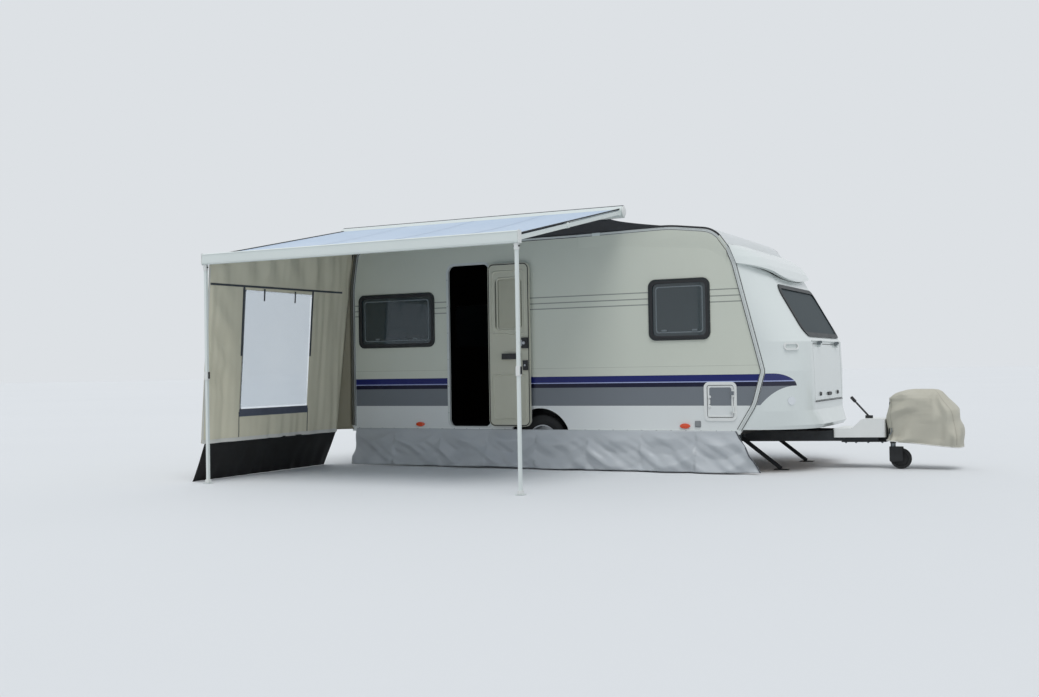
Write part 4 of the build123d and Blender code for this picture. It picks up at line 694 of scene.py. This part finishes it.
def panel_place(y, z, proud=0.0):
    """A place on the panel, from its flat y and height, with folds; proud towards the awning's inside."""
    fold = 0.034 * wave(y * 4.4, z * 0.5, 1.3) + 0.013 * wave(y * 12, z * 1.1, 5.1)
    top = max(0, z - 2.0)
    fold += 0.030 * min(1, top * 4) * math.sin(y * 15 + z * 5 + 2.6 * wave(y * 2, z * 2, 8)) * max(0, 1 - top * 1.7)
    drag = math.exp(-((y + 3.40) / 0.17) ** 2) * math.sin(math.pi * min(max((z - 0.5) / 1.6, 0), 1))
    fold += 0.016 * drag * math.sin((z + 0.7 * y) * 15)
    edge = min(1, max(0, (y - PANEL_Y[0])) * 12, max(0, PANEL_Z[2] - z) * 6 + 0.1)
    depth = fold * stiffness(y, z) * edge + 0.002 + proud
    down = PANEL_Z[1] - z
    return (0.012 + depth * math.cos(LEAN) - down * math.sin(LEAN), y,
            PANEL_Z[1] - down * math.cos(LEAN) - depth * math.sin(LEAN))


def panel_top(y):
    """Height of the panel's upper edge."""
    if y < -3.66:
        return 2.2310
    return min(cloth_top(0.02, y) - 0.006, 2.7200)


def panel_inner(z):
    """The panel's edge beside the wall hangs away from it towards the hem."""
    return PANEL_Y[1] - 0.170 * max(0, PANEL_Z[2] - z) / (PANEL_Z[2] - PANEL_Z[0])


def drawn_in(y, z):
    """A y of the flat panel, moved along with that edge if it lies past the window."""
    if y <= WINDOW_Y[1]:
        return y
    return WINDOW_Y[1] + (y - WINDOW_Y[1]) * ((panel_inner(z) - WINDOW_Y[1]) / (PANEL_Y[1] - WINDOW_Y[1]))


def stops(low, high, marks, pitch):
    """Values from low to high at about a pitch, with the marks among them."""
    out = [low]
    for a, b in pairwise((low, *marks, high)):
        out += span(a, b, max(1, round((b - a) / pitch)))[1:]
    return out


def in_window(first, last):
    """Whether a cell of the panel lies in its window."""
    y = (first[1] + last[1]) / 2
    z = PANEL_Z[1] - (PANEL_Z[1] - (first[2] + last[2]) / 2) / math.cos(LEAN)
    return WINDOW_Y[0] < y < WINDOW_Y[1] and WINDOW_Z[0] + 0.004 < z < WINDOW_Z[1] - 0.002


across = stops(*PANEL_Y, WINDOW_Y, 0.020)
heights = [[z] * len(across) for z in stops(*PANEL_Z[:2], WINDOW_Z, 0.036)]
heights += [[PANEL_Z[1] + (panel_top(y) - PANEL_Z[1]) * k / 8 for y in across] for k in range(1, 9)]
cloth("end_panel_cloth", "panel_cloth",
      [[panel_place(drawn_in(y, z), z) for y, z in zip(across, row)] for row in heights],
      ["end_panel"], gap=in_window)

film_rows = []
for z in span(WINDOW_Z[0] - 0.012, WINDOW_Z[1] + 0.012, 30):
    film_rows.append([Vector(panel_place(y, z)) + Vector((-0.002 + 0.004 * wave(y * 2.4, z * 1.7, 9), 0, 0))
                      for y in span(WINDOW_Y[0] - 0.012, WINDOW_Y[1] + 0.012, 28)])
cloth("end_panel_film", "clear_film", film_rows,
      ["end_panel_window"], thick=0.0008)


def tape(shape, start, end, width, proud=0.0035):
    """A flat tape on the panel's inside, between two places (y, z)."""
    steps = max(2, int(math.dist(start, end) / 0.04))
    line = list(zip(span(start[0], end[0], steps), span(start[1], end[1], steps)))
    aside = (width / 2, 0) if start[0] == end[0] else (0, width / 2)
    join_rows(shape, [[panel_place(y + s * aside[0], z + s * aside[1], proud) for y, z in line] for s in (-1, 1)])


# Zips, window weld, straps, band and hem of the panel
shape = bmesh.new()
tape(shape, (-3.650, 2.040), (-1.360, 2.062), 0.022)
for y in (-3.122, -1.922):
    tape(shape, (y, 2.045), (y, 1.300), 0.030)
    tape(shape, (y, 0.700), (y, 0.410), 0.010)
for y in (-2.790, -2.250):
    tape(shape, (y, 2.030), (y, 1.900), 0.024, 0.007)
solid_of("panel_zips", shape, finish=zip_tape, crease=SOFT)
shape = bmesh.new()
tape(shape, (WINDOW_Y[0] - 0.010, 0.690), (WINDOW_Y[1] + 0.010, 0.690), 0.080, 0.004)
solid_of("panel_sill_band", shape, finish=blue_grey, crease=SOFT)
shape = bmesh.new()
tape(shape, (-3.676, 0.412), (-1.345, 0.412), 0.040, 0.004)
tape(shape, (-3.668, 2.200), (-3.668, 0.420), 0.024, 0.004)
solid_of("panel_hem", shape, finish=hem_webbing, crease=SOFT)

# Foam-filled draught strip up the caravan's rear corner, beside the panel; its dark olive colour is painted shade
shape = bmesh.new()
bead(shape, [(rear_edge_x(z) + 0.022, -1.1785, z) for z in span(0.470, 2.560, 30)], 0.0175, 12)
solid_of("draught_strip", shape, finish=foam_strip_painted_shade)

# Gusset that closes the gap between the panel's leaning edge and the caravan's corner, its cloth darkened with painted
# shade
gusset_rows = []
for z in span(0.420, 2.690, 40):
    start = Vector(panel_place(panel_inner(z) - 0.004, z, -0.001))
    end = Vector((rear_edge_x(min(start.z, 2.550)) + 0.006, -1.184, min(start.z, 2.590)))
    row = []
    for part in span(0.0, 1.0, 8):
        bow = 0.020 * math.sin(math.pi * part) * (1 + 0.7 * wave(z * 3.0, part, 2.0)) * min(1, (2.75 - z) * 2)
        row.append(start.lerp(end, part) + Vector((-bow, -bow * 0.3, 0)))
    gusset_rows.append(row)
cloth("end_panel_gusset", "panel_cloth", gusset_rows, [], painted_shade_gusset)

# Ground flap: slack black PVC from the hem to the ground
flap_rows = []
for down in span(0.0, 1.0, 12):
    row = []
    for y in span(-3.620, -1.3303, 70):
        lean = -0.1254 - 0.172 * down + 0.026 * down * wave(y * 4.2, down * 1.2, 2.0)
        lean += 0.008 * math.sin(y * 33 + 2 * wave(y, 0, 3)) * down
        row.append((lean, y, max(0.4045 * (1 - down), 0.001)))
    flap_rows.append(row)
cloth("ground_flap_sheet", "flap_cloth", flap_rows, ["ground_flap"])

# Skirt: hooked along the sill at a pitch, falling in slack folds; its front corner flares and drags them along
HOOKS = 0.62
skirt_rows = []
for down in span(0.0, 1.0, 30):
    row = []
    for along in span(0.0, 1.0, 300):
        x = 0.060 + (4.710 + 0.270 * down) * along
        hook = math.floor(x / HOOKS)
        off = 2 * (x / HOOKS - hook) - 1
        free = min(1, down * 3) * (1 - 0.55 * abs(off))
        turns = 1.5 * down + 0.50 * off * off + 0.7 * wave(hook * 1.7, 3.0, 1.0) + 0.25 * off * math.sin(hook * 2.1)
        swag = 0.026 * free * (1 - 4 * abs(turns % 1 - 0.5))
        swag += 0.046 * down ** 0.7 * wave(x * 2.9 + down * 2.2, down * 0.8, 6.0)
        swag += 0.020 * min(1, down * 2) * wave(x * 8 - down * 5, down * 1.6, 3.0)
        hang = 0.436 * (1 - down) + (0.012 * wave(x * 1.3, 0, 7) + 0.014) * down
        row.append((x, -1.1630 - 0.090 * down - max(-0.052 * down, swag), max(hang, 0.002)))
    skirt_rows.append(row)
cloth("skirt_sheet", "skirt_cloth", skirt_rows, ["skirt"])
shape = bmesh.new()
join_rows(shape, [[Vector(row[-1]) + Vector((back, -0.003, 0)) for back in (-0.016, 0)] for row in skirt_rows])
solid_of("skirt_front_binding", shape, finish=zip_tape, crease=SOFT)

# Hitch cover: a sewn canvas hood over the coupling, in rows of z, x0, x1, half its width and corner radius
HOOD = [
    (0.225, 6.096, 6.836, 0.205, 0.060), (0.330, 6.096, 6.836, 0.205, 0.060),
    (0.450, 6.096, 6.834, 0.205, 0.062), (0.560, 6.097, 6.806, 0.201, 0.066),
    (0.620, 6.098, 6.782, 0.198, 0.070), (0.690, 6.101, 6.730, 0.189, 0.076),
    (0.740, 6.106, 6.690, 0.178, 0.080), (0.775, 6.160, 6.662, 0.160, 0.084),
    (0.805, 6.225, 6.636, 0.136, 0.088), (0.826, 6.290, 6.600, 0.104, 0.090),
    (0.8335, 6.350, 6.550, 0.060, 0.058), (0.8345, 6.420, 6.490, 0.020, 0.018),
]


def hood_place(step, turn):
    """A place on the hood: step runs through its rows, turn once round it."""
    at = min(int(step), len(HOOD) - 2)
    z, x0, x1, deep, corner = (a + (b - a) * (step - at) for a, b in zip(HOOD[at], HOOD[at + 1]))
    ca, sa = math.cos(2 * math.pi * turn), math.sin(2 * math.pi * turn)
    wide = (x1 - x0) / 2
    power = 2 / (2 + 3.2 * (1 - corner / max(deep, 0.03) * 0.5))
    x = (x0 + x1) / 2 + wide * math.copysign(abs(ca) ** power, ca)
    y = deep * math.copysign(abs(sa) ** power, sa)
    # Slack between the things below it: creases, soft swells, pleats at the hem
    slack = 0.022 * (0.5 - 2.4 * abs(wave(x * 2.7 + z * 1.9, y * 2.6, z * 1.7 - x)))
    slack += 0.008 * wave(x * 7, y * 8, z * 4) + 0.012 * wave(x * 3.4 + y * 2, y * 3 - z * 1.2, z * 2.6)
    slack += 0.010 * math.sin((x * 0.8 - z) * 19 + 2 * wave(x * 2, y * 2, z)) * min(1, max(0, (0.80 - z) * 4))
    slack -= 0.012 * max(0, math.sin((z - 0.3) * 9)) * abs(sa) ** 3
    slack += 0.010 * max(0, (0.50 - z) / 0.25) * math.sin(2 * math.pi * turn * 13 + 2.5 * wave(x * 3, y * 3, 1))
    # Folds that fan out from its top over the coupling
    reach, drop = 6.60 - x, 0.88 - z
    far = math.hypot(reach, drop)
    phase = 2.4 * math.atan2(drop, reach) + 0.6 * wave(far * 3, drop * 2, 4 + sa)
    slack += 0.017 * min(1, far * 2.4) * (1 - 4 * abs(phase % 1 - 0.5)) * abs(sa) ** 0.5
    fade = min(1, (len(HOOD) - 1 - step) / 3)
    hem = 0.295 - (x - 6.10) * 0.0955
    z_out = z if step > 1 else hem + (0.330 - hem) * min(step, 1)
    push = Vector((ca / max(wide, 0.05), sa / max(deep, 0.05), 0)).normalized()
    return Vector((x, y, z_out)) + push * (max(-0.016, slack) + 0.002) * fade


hood_rows = [[hood_place(step, k / 120) for k in range(121)] for step in span(0, len(HOOD) - 1, 66)]
cloth("hitch_cover_canvas", "cover_fabric", hood_rows,
      ["hitch_cover"], thick=0.0016)
shape = bmesh.new()
bead(shape, [p + Vector((0, 0, 0.006)) for p in hood_rows[0][:-1]], 0.005, closed=True)
solid_of("hitch_cover_cord_hem", shape, finish=hem_webbing, crease=SOFT)
shape = bmesh.new()
for turn in (0.125, 0.375, 0.625, 0.875):
    for low, high in pairwise(span(0.3, 9.4, 30)):
        tape_places = [hood_place(step, turn + off) for step, off in (
            (low, -0.003), (low, 0.003), (high, 0.003), (high, -0.003))]
        out = Vector((tape_places[0].x - 6.45, tape_places[0].y, 0)).normalized() * 0.0025
        shape.faces.new([shape.verts.new(p + out) for p in tape_places])
solid_of("hitch_cover_seams", shape, finish=seam_tape, crease=SOFT)

# Windows: wall, lower a, upper a, lower z, upper z of the outer frame, with profiles of (inset, how far proud)
WINDOWS = [
    ("right", 0.110, 1.170, 1.390, 2.030), ("right", 3.830, 4.510, 1.390, 2.040),
    ("left", 0.110, 1.170, 1.390, 2.030), ("left", 2.050, 2.850, 1.500, 2.040),
    ("left", 3.650, 4.510, 1.390, 2.040), ("rear", -0.560, 0.560, 1.420, 2.010),
]
SEAL = ((0.046, 0.0095), (0.046, 0.0150), (0.030, 0.0165), (0.022, 0.0150), (0.022, 0.0125))
INNER_LINE = ((0.078, 0.0002), (0.078, 0.0016), (0.086, 0.0022), (0.090, 0.0016), (0.090, 0.0002))
shape = bmesh.new()
inner = bmesh.new()
for where, a0, a1, z0, z1 in WINDOWS:
    moulding(shape, where, a0, a1, z0, z1, 0.050, SEAL)
    moulding(inner, where, a0, a1, z0, z1, 0.030, INNER_LINE)
    for a in (a0 + 0.25 * (a1 - a0), a0 + 0.75 * (a1 - a0)):
        catch = on_wall(where, a - 0.03, z0 + 0.095, 0.0002), on_wall(where, a + 0.03, z0 + 0.115, 0.008)
        slab(inner, *[side for pair in zip(*catch) for side in sorted(pair)])
solid_of("window_seals", shape, "black_plastic", soft_rubber)
solid_of("window_inner_lines", inner, "window_frame", acrylic_border)

# Entry door, folded back: seal round its edge, raised borders of its lining, lock barrels
shape = bmesh.new()
bead(shape, [(a, DOOR_Y + 0.008, z) for a, z in corner_path(1.923, 2.421, 0.481, 2.299, 0.062, 8)], 0.0105,
     closed=True)
solid_of("door_seal", shape, "black_plastic", soft_rubber, "entry_door")
shape = bmesh.new()
for border in ((1.960, 2.385, 0.540, 1.060), (1.960, 2.385, 1.500, 2.230), (2.020, 2.330, 1.545, 2.155)):
    moulding(shape, "door", *border, 0.040, ((0.0, 0.0), (0.006, 0.006), (0.014, 0.006), (0.020, 0.0)))
solid_of("door_lining_mouldings", shape, "door_skin", body="entry_door")
shape = bmesh.new()
turned(shape, [(0.0, 0.012), (0.016, 0.011), (0.018, 0.004), (0.018, -0.010)], (2.372, DOOR_Y - 0.026, 1.405),
       (0, -1, 0), 28)
slab(shape, 2.338, 2.352, DOOR_Y - 0.036, DOOR_Y - 0.022, 1.372, 1.438, 0.003)
turned(shape, [(0.0, 0.008), (0.010, 0.008), (0.011, -0.006)], (2.382, DOOR_Y - 0.022, 1.155), (0, -1, 0), 20)
solid_of("door_lock_barrels", shape, "zinc_steel", FINISH["wheel_steel"], "entry_door")

# Pleated blind, closed over the door's window, between its two bars
blind_rows = [[(x, -1.1935 - 0.009 * (k % 2), z) for x in span(2.012, 2.332, 8)]
              for k, z in enumerate(span(1.572, 2.128, 46))]
cloth("door_blind", "door_skin", blind_rows, [], blind_cloth,
      body="entry_door", thick=0.0008)
blocks("door_blind_bars", "door_skin",
       [(2.012, 2.332, -1.2060, -1.1910, z, z + 0.0140, 0.003) for z in (1.5640, 2.1240)],
       body="entry_door")

# Screws of the door frame and of the sill trims, which stop at the wheels, and a tread plate in the doorway
shape = bmesh.new()
for z in span(0.62, 2.16, 5):
    for x in (1.346, 1.914):
        turned(shape, [(0.0, 0.0022), (0.004, 0.0018), (0.005, 0.0), (0.005, -0.002)], (x, -1.1540, z), (0, -1, 0), 12)
for side in (-1, 1):
    for x in span(0.10, 4.72, 28):
        if abs(x - AXLE_X) > 0.39:
            turned(shape, [(0.0, 0.0024), (0.005, 0.0018), (0.006, 0.0), (0.006, -0.002)],
                   (x, side * 1.160, 0.436), (0, side, 0), 10)
solid_of("trim_screws", shape, "zinc_steel")
blocks("doorway_tread_plate", "alloy_trim", [(1.372, 1.888, -1.1560, -1.1210, 0.4630, 0.4660, 0.001)] + [
    (x, x + 0.006, -1.1500, -1.1260, 0.4660, 0.4674, 0.0005) for x in span(1.392, 1.869, 15)])

# Service hatch: white rim and latches
shape = bmesh.new()
moulding(shape, "right", 4.464, 4.739, 0.579, 0.908, 0.018,
         ((0.000, 0.0022), (0.002, 0.0036), (0.018, 0.0036), (0.020, 0.0022)))
solid_of("hatch_rim", shape, "white_plastic", body="service_hatch")
shape = bmesh.new()
for z in (0.690, 0.790):
    turned(shape, [(0.0, 0.009), (0.013, 0.008), (0.016, 0.003), (0.016, 0.0)], (4.486, -1.1525, z), (0, -1, 0), 28)
slab(shape, 4.478, 4.494, -1.1600, -1.1522, 0.715, 0.765, 0.003)
solid_of("hatch_latches", shape, "white_plastic", body="service_hatch")

# Oval marker lenses on the sill, over their lamps, and the mains inlet's cover
OVAL = 2.1  # length over height
shape = bmesh.new()
for side in (-1, 1):
    for x in (0.960, 4.2155):
        lens = bmesh.new()
        turned(lens, [(0.0265, 0.0), (0.0265, 0.0166), (0.0200, 0.0184), (0.0, 0.0192)], (0, 0, 0), (0, side, 0), 40)
        stretched = {v: shape.verts.new((x + v.co.x * OVAL, side * 1.1498 + v.co.y, 0.4860 + v.co.z))
                     for v in lens.verts}
        for face in lens.faces:
            shape.faces.new([stretched[v] for v in face.verts])
        lens.free()
solid_of("side_marker_lenses", shape, "lamp_lens", marker_lens)
blocks("mains_inlet_cover", "window_frame", [
    (4.322, 4.388, -1.1590, -1.1500, 0.474, 0.540, 0.004), (4.332, 4.378, -1.1625, -1.1588, 0.484, 0.530, 0.003)],
       grey_abs)

# Roof's front corner: its moulded sheet, cheeks and trims, a little fuller than the solid below them
trim_foot = inset_run(wall_run, 0.0535)
xs = span(3.02, 4.70, 56)
rows = []
for x in xs:
    z = height_at(edge_run, x)
    edge = [(x, -1.1600, z - 0.020), (x, -1.1585, z - 0.006), (x, -1.1520, z - 0.0006)]
    crown = [(x, y, z + 0.004 * (1 - (y / WALL) ** 2)) for y in span(-1.12, 1.12, 10)]
    rows.append(edge + crown + [(a, -b, c) for a, b, c in reversed(edge)])
shape = bmesh.new()
join_rows(shape, rows)
solid_of("roof_corner_sheet", shape, "roof_skin")
shape = bmesh.new()
for side in (-1, 1):
    rows = []
    for x in xs:
        bottom = min(height_at(trim_foot, x), height_at(edge_run, x) - 0.052)
        top = height_at(edge_run, x) - 0.012
        rows.append([(x, side * y, z) for y, z in (
            (1.1499, bottom - 0.115), (1.1522, bottom - 0.075), (1.1597, bottom), (1.1599, (bottom + top) / 2),
            (1.1599, top))])
    join_rows(shape, rows)
solid_of("roof_corner_cheeks", shape, "side_panel")
shape = bmesh.new()
for side in (-1, 1):
    run = [p for p in edge_run if p.x > 2.9 and p.y > 2.36]
    join_rows(shape, [[(p.x, side * 1.1606, p.y) for p in inset_run(run, inset)] for inset in (0.004, 0.052)])
solid_of("roof_corner_trim", shape, "alloy_trim")

# Edge trims: dark gaskets along both sides of a bright bead, and a dark gutter along the roof's edge
shape = bmesh.new()
dark = bmesh.new()
for side in (-1, 1):
    bead(shape, [(p.x, side * 1.1590, p.y) for p in inset_run(edge_run, 0.026)], 0.0050)
    for inset in (0.0045, 0.0480):
        bead(dark, [(p.x, side * 1.1578, p.y) for p in inset_run(edge_run, inset)], 0.0040, 6)
    gutter = [p for p in edge_run if p.y > 2.47]
    join_rows(dark, [[(p.x, side * off, p.y) for p in inset_run(gutter, inset)] for inset, off in (
        (0.001, 1.1592), (0.001, 1.1620), (0.024, 1.1620), (0.024, 1.1592))], looped=True)
solid_of("edge_trim_beads", shape, "alloy_trim")
solid_of("edge_trim_gaskets", dark, "black_plastic", soft_rubber)

# Dark apron from the cassette down to the roof's edge, tapering to its front corner: a dark sheet of painted shade for
# the shaded gap under the cassette
apron_rows = []
for part in span(0.0, 1.0, 6):
    row = []
    for x in span(0.030, 3.560, 90) + span(3.600, 4.030, 12):
        past = min(1, (x - 3.45) / 0.58) if x > 3.45 else 0
        low = Vector((x, -1.1690, height_at(edge_run, x) - 0.020))
        high = Vector((x, -1.2360 + 0.067 * past, 2.7125 - 0.105 * past ** 0.7))
        place = low.lerp(high, part)
        place.y += 0.007 * math.sin(math.pi * part) * wave(x * 3.5, part * 2, 5)
        row.append(place)
    apron_rows.append(row)
cloth("painted_shade_apron", "flap_cloth", apron_rows, [],
      apron_painted_shade)

# Dark piping on the awning cloth's two free edges
shape = bmesh.new()
for x in AWNING_X:
    bead(shape, [(x, y, cloth_top(x, y) + 0.004) for y in SEWN], 0.0065)
solid_of("cloth_edge_piping", shape, finish=soft_rubber, crease=SOFT)

# Gas locker lid: locks and pull; drip lip above it and seal below
shape = bmesh.new()
for y in (-0.420, 0.420):
    turned(shape, [(0.0, 0.014), (0.017, 0.013), (0.021, 0.006), (0.022, 0.0), (0.022, -0.006)],
           (5.4725, y, 0.800), (1, 0, 0.02), 28)
slab(shape, 5.468, 5.484, -0.090, 0.090, 0.775, 0.812, 0.005)
solid_of("locker_lid_locks", shape, "black_plastic", body="gas_locker_lid")
blocks("locker_drip_lip", "alloy_trim", [(5.440, 5.462, -0.700, 0.700, 1.350, 1.362, 0.004)])
blocks("locker_lower_seal", "black_plastic", [(5.462, 5.484, -0.660, 0.660, 0.7190, 0.7262, 0.003)], soft_rubber)

# Front corner lamps: bright rims round their lenses, and rubber rings under them
LAMP_RIM = ((0.0435, -0.012), (0.0450, 0.004), (0.0420, 0.009), (0.0375, 0.0085), (0.0360, 0.003))
LAMP_SEAL = ((0.0560, -0.014), (0.0560, 0.002), (0.0440, 0.004))
for name, rows, slot, finish in (("front_lamp_rims", LAMP_RIM, "zinc_steel", FINISH["wheel_steel"]),
                                 ("front_lamp_seals", LAMP_SEAL, "black_plastic", soft_rubber)):
    shape = bmesh.new()
    for side in (-1, 1):
        turned(shape, rows, (5.2976, side * 1.0027, 0.745), (1, side, 0), 36)
    solid_of(name, shape, slot, finish)

# Rear: blank number plate, lamp borders, grab handles at the corners and a high lamp
blocks("blank_plate", "white_plastic", [(-0.0370, -0.0335, -0.260, 0.260, 0.520, 0.632, 0.002)], plate_sheet)
shape = bmesh.new()
for side in (-1, 1):
    low, high = sorted((side * 0.770, side * 1.050))
    moulding(shape, "rear", low, high, 0.512, 0.660, 0.035,
             ((0.0, 0.042), (0.002, 0.052), (0.010, 0.054), (0.016, 0.050)))
    for y in (side * 0.865, side * 0.965):
        slab(shape, -0.0590, -0.0570, y - 0.002, y + 0.002, 0.526, 0.646, 0.0008)
solid_of("rear_lamp_borders", shape, "white_plastic")
HANDLE = ((-0.004, 0.830), (-0.040, 0.850), (-0.052, 0.880), (-0.052, 1.020), (-0.040, 1.050), (-0.004, 1.070))
shape = bmesh.new()
for y in (-0.985, 0.985):
    bead(shape, [(x, y, z) for x, z in HANDLE], 0.011, 14)
    for z in (0.830, 1.070):
        slab(shape, -0.012, -0.0002, y - 0.026, y + 0.026, z - 0.026, z + 0.026, 0.004)
solid_of("rear_shunting_handles", shape, "white_plastic")
blocks("high_stop_lamp", "lamp_lens", [(-0.0140, 0.0, -0.140, 0.140, 2.062, 2.088, 0.004)], red_lens)

# Tyres: moulded tread of five ribs with cross cuts on the shoulders, as radius, y and kind of cut
TREAD_ROWS = [
    (0.1865, -0.0810, 0), (0.2020, -0.0870, 0), (0.2300, -0.0905, 0), (0.2360, -0.0918, 0), (0.2460, -0.0918, 0),
    (0.2500, -0.0905, 0), (0.2740, -0.0880, 0), (0.2880, -0.0830, 1), (0.2960, -0.0760, 1), (0.2990, -0.0640, 1),
    (0.2995, -0.0480, 1), (0.2915, -0.0470, 0), (0.2915, -0.0390, 0), (0.2998, -0.0380, 2), (0.3000, -0.0180, 2),
    (0.2918, -0.0170, 0), (0.2918, -0.0095, 0), (0.3000, -0.0085, 3), (0.3000, 0.0085, 3),
]
TREAD_ROWS += [(r, -off, cut) for r, off, cut in reversed(TREAD_ROWS[:-2])]
TREAD_STEPS = 208


def tread_place(side, k, radius, off, cut):
    """A place on a tyre about its stub axle, its ribs cut at a pitch of 36 mm."""
    phase = (k + (2 if cut == 2 and off > 0 else 0)) % 4
    if cut in (1, 2) and phase == 0:
        radius -= 0.0065
    elif cut == 3 and phase == 2:
        radius -= 0.0025
    turn = 2 * math.pi * k / TREAD_STEPS
    return AXLE_X + radius * math.cos(turn), side * HUB_Y + off, HUB_Z + radius * math.sin(turn)


for name, side in (("right", -1), ("left", 1)):
    shape = bmesh.new()
    join_rows(shape, [[tread_place(side, k, *row) for k in range(TREAD_STEPS)] for row in TREAD_ROWS], closed=True)
    tyre = solid_of("tyre_" + name + "_tread", shape, "tyre", body="wheel_" + name, crease=28)
    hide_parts("tyre_" + name)

# Wheels: five bolts, hub cap and valve
BOLT = ((0.013, 0.004), (0.013, 0.009), (0.0098, 0.010), (0.0098, 0.023), (0.0080, 0.0245), (0.0, 0.0245))
HUB_CAP = ((0.0330, 0.0345), (0.0330, 0.0500), (0.0290, 0.0560), (0.0, 0.0580))
for name, side in (("right", -1), ("left", 1)):
    shape = bmesh.new()
    face = side * HUB_Y
    for k in range(5):
        turn = math.radians(90 + 72 * k)
        place = (AXLE_X + 0.066 * math.cos(turn), face, HUB_Z + 0.066 * math.sin(turn))
        turned(shape, BOLT, place, (0, side, 0), 6)
    turned(shape, HUB_CAP, (AXLE_X, face, HUB_Z), (0, side, 0), 36)
    bead(shape, [(AXLE_X + 0.158, face + side * 0.030, HUB_Z), (AXLE_X + 0.154, face + side * 0.052, HUB_Z)], 0.004)
    solid_of("wheel_bolts_" + name, shape, "zinc_steel", body="wheel_" + name)

# Chassis: bolts through the drawbar's head plate and the axle's brackets, and the jockey clamp's handle
shape = bmesh.new()
for x, y in ((5.680, 0.190), (5.780, 0.165), (5.900, 0.135), (6.040, 0.100)):
    for side in (-1, 1):
        turned(shape, [(0.017, 0.0), (0.017, 0.003), (0.0110, 0.0032), (0.0110, 0.0120), (0.0, 0.0125)],
               (x, side * y, 0.278), (0, 0, -1), 6)
for side in (-1, 1):
    for x in (2.640, 2.740):
        turned(shape, [(0.012, 0.0), (0.012, 0.010), (0.0, 0.0105)], (x, side * 0.5301, 0.276), (0, side, 0), 6)
solid_of("chassis_bolts", shape, "zinc_steel")
shape = bmesh.new()
bead(shape, [(6.152, -0.152, 0.395), (6.152, -0.188, 0.395)], 0.007, 12)
bead(shape, [(6.128, -0.186, 0.352), (6.146, -0.187, 0.380), (6.152, -0.188, 0.395), (6.152, -0.188, 0.430)],
     0.006, 12)
solid_of("jockey_clamp_handle", shape, "zinc_steel")

# Handbrake: moulded grip with finger ridges over the lever's end
start, end = Vector((5.7500, -0.012, 0.7045)), Vector((5.7088, -0.012, 0.7512))
run = (end - start).length
ridges = [(0.0163 + 0.0011 * (k % 2), run * k / 12) for k in range(13)]
shape = bmesh.new()
turned(shape, ridges + [(0.010, run + 0.004), (0.0, run + 0.005)], start, end - start, 24)
solid_of("handbrake_grip", shape, "black_plastic", soft_rubber)

low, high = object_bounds()
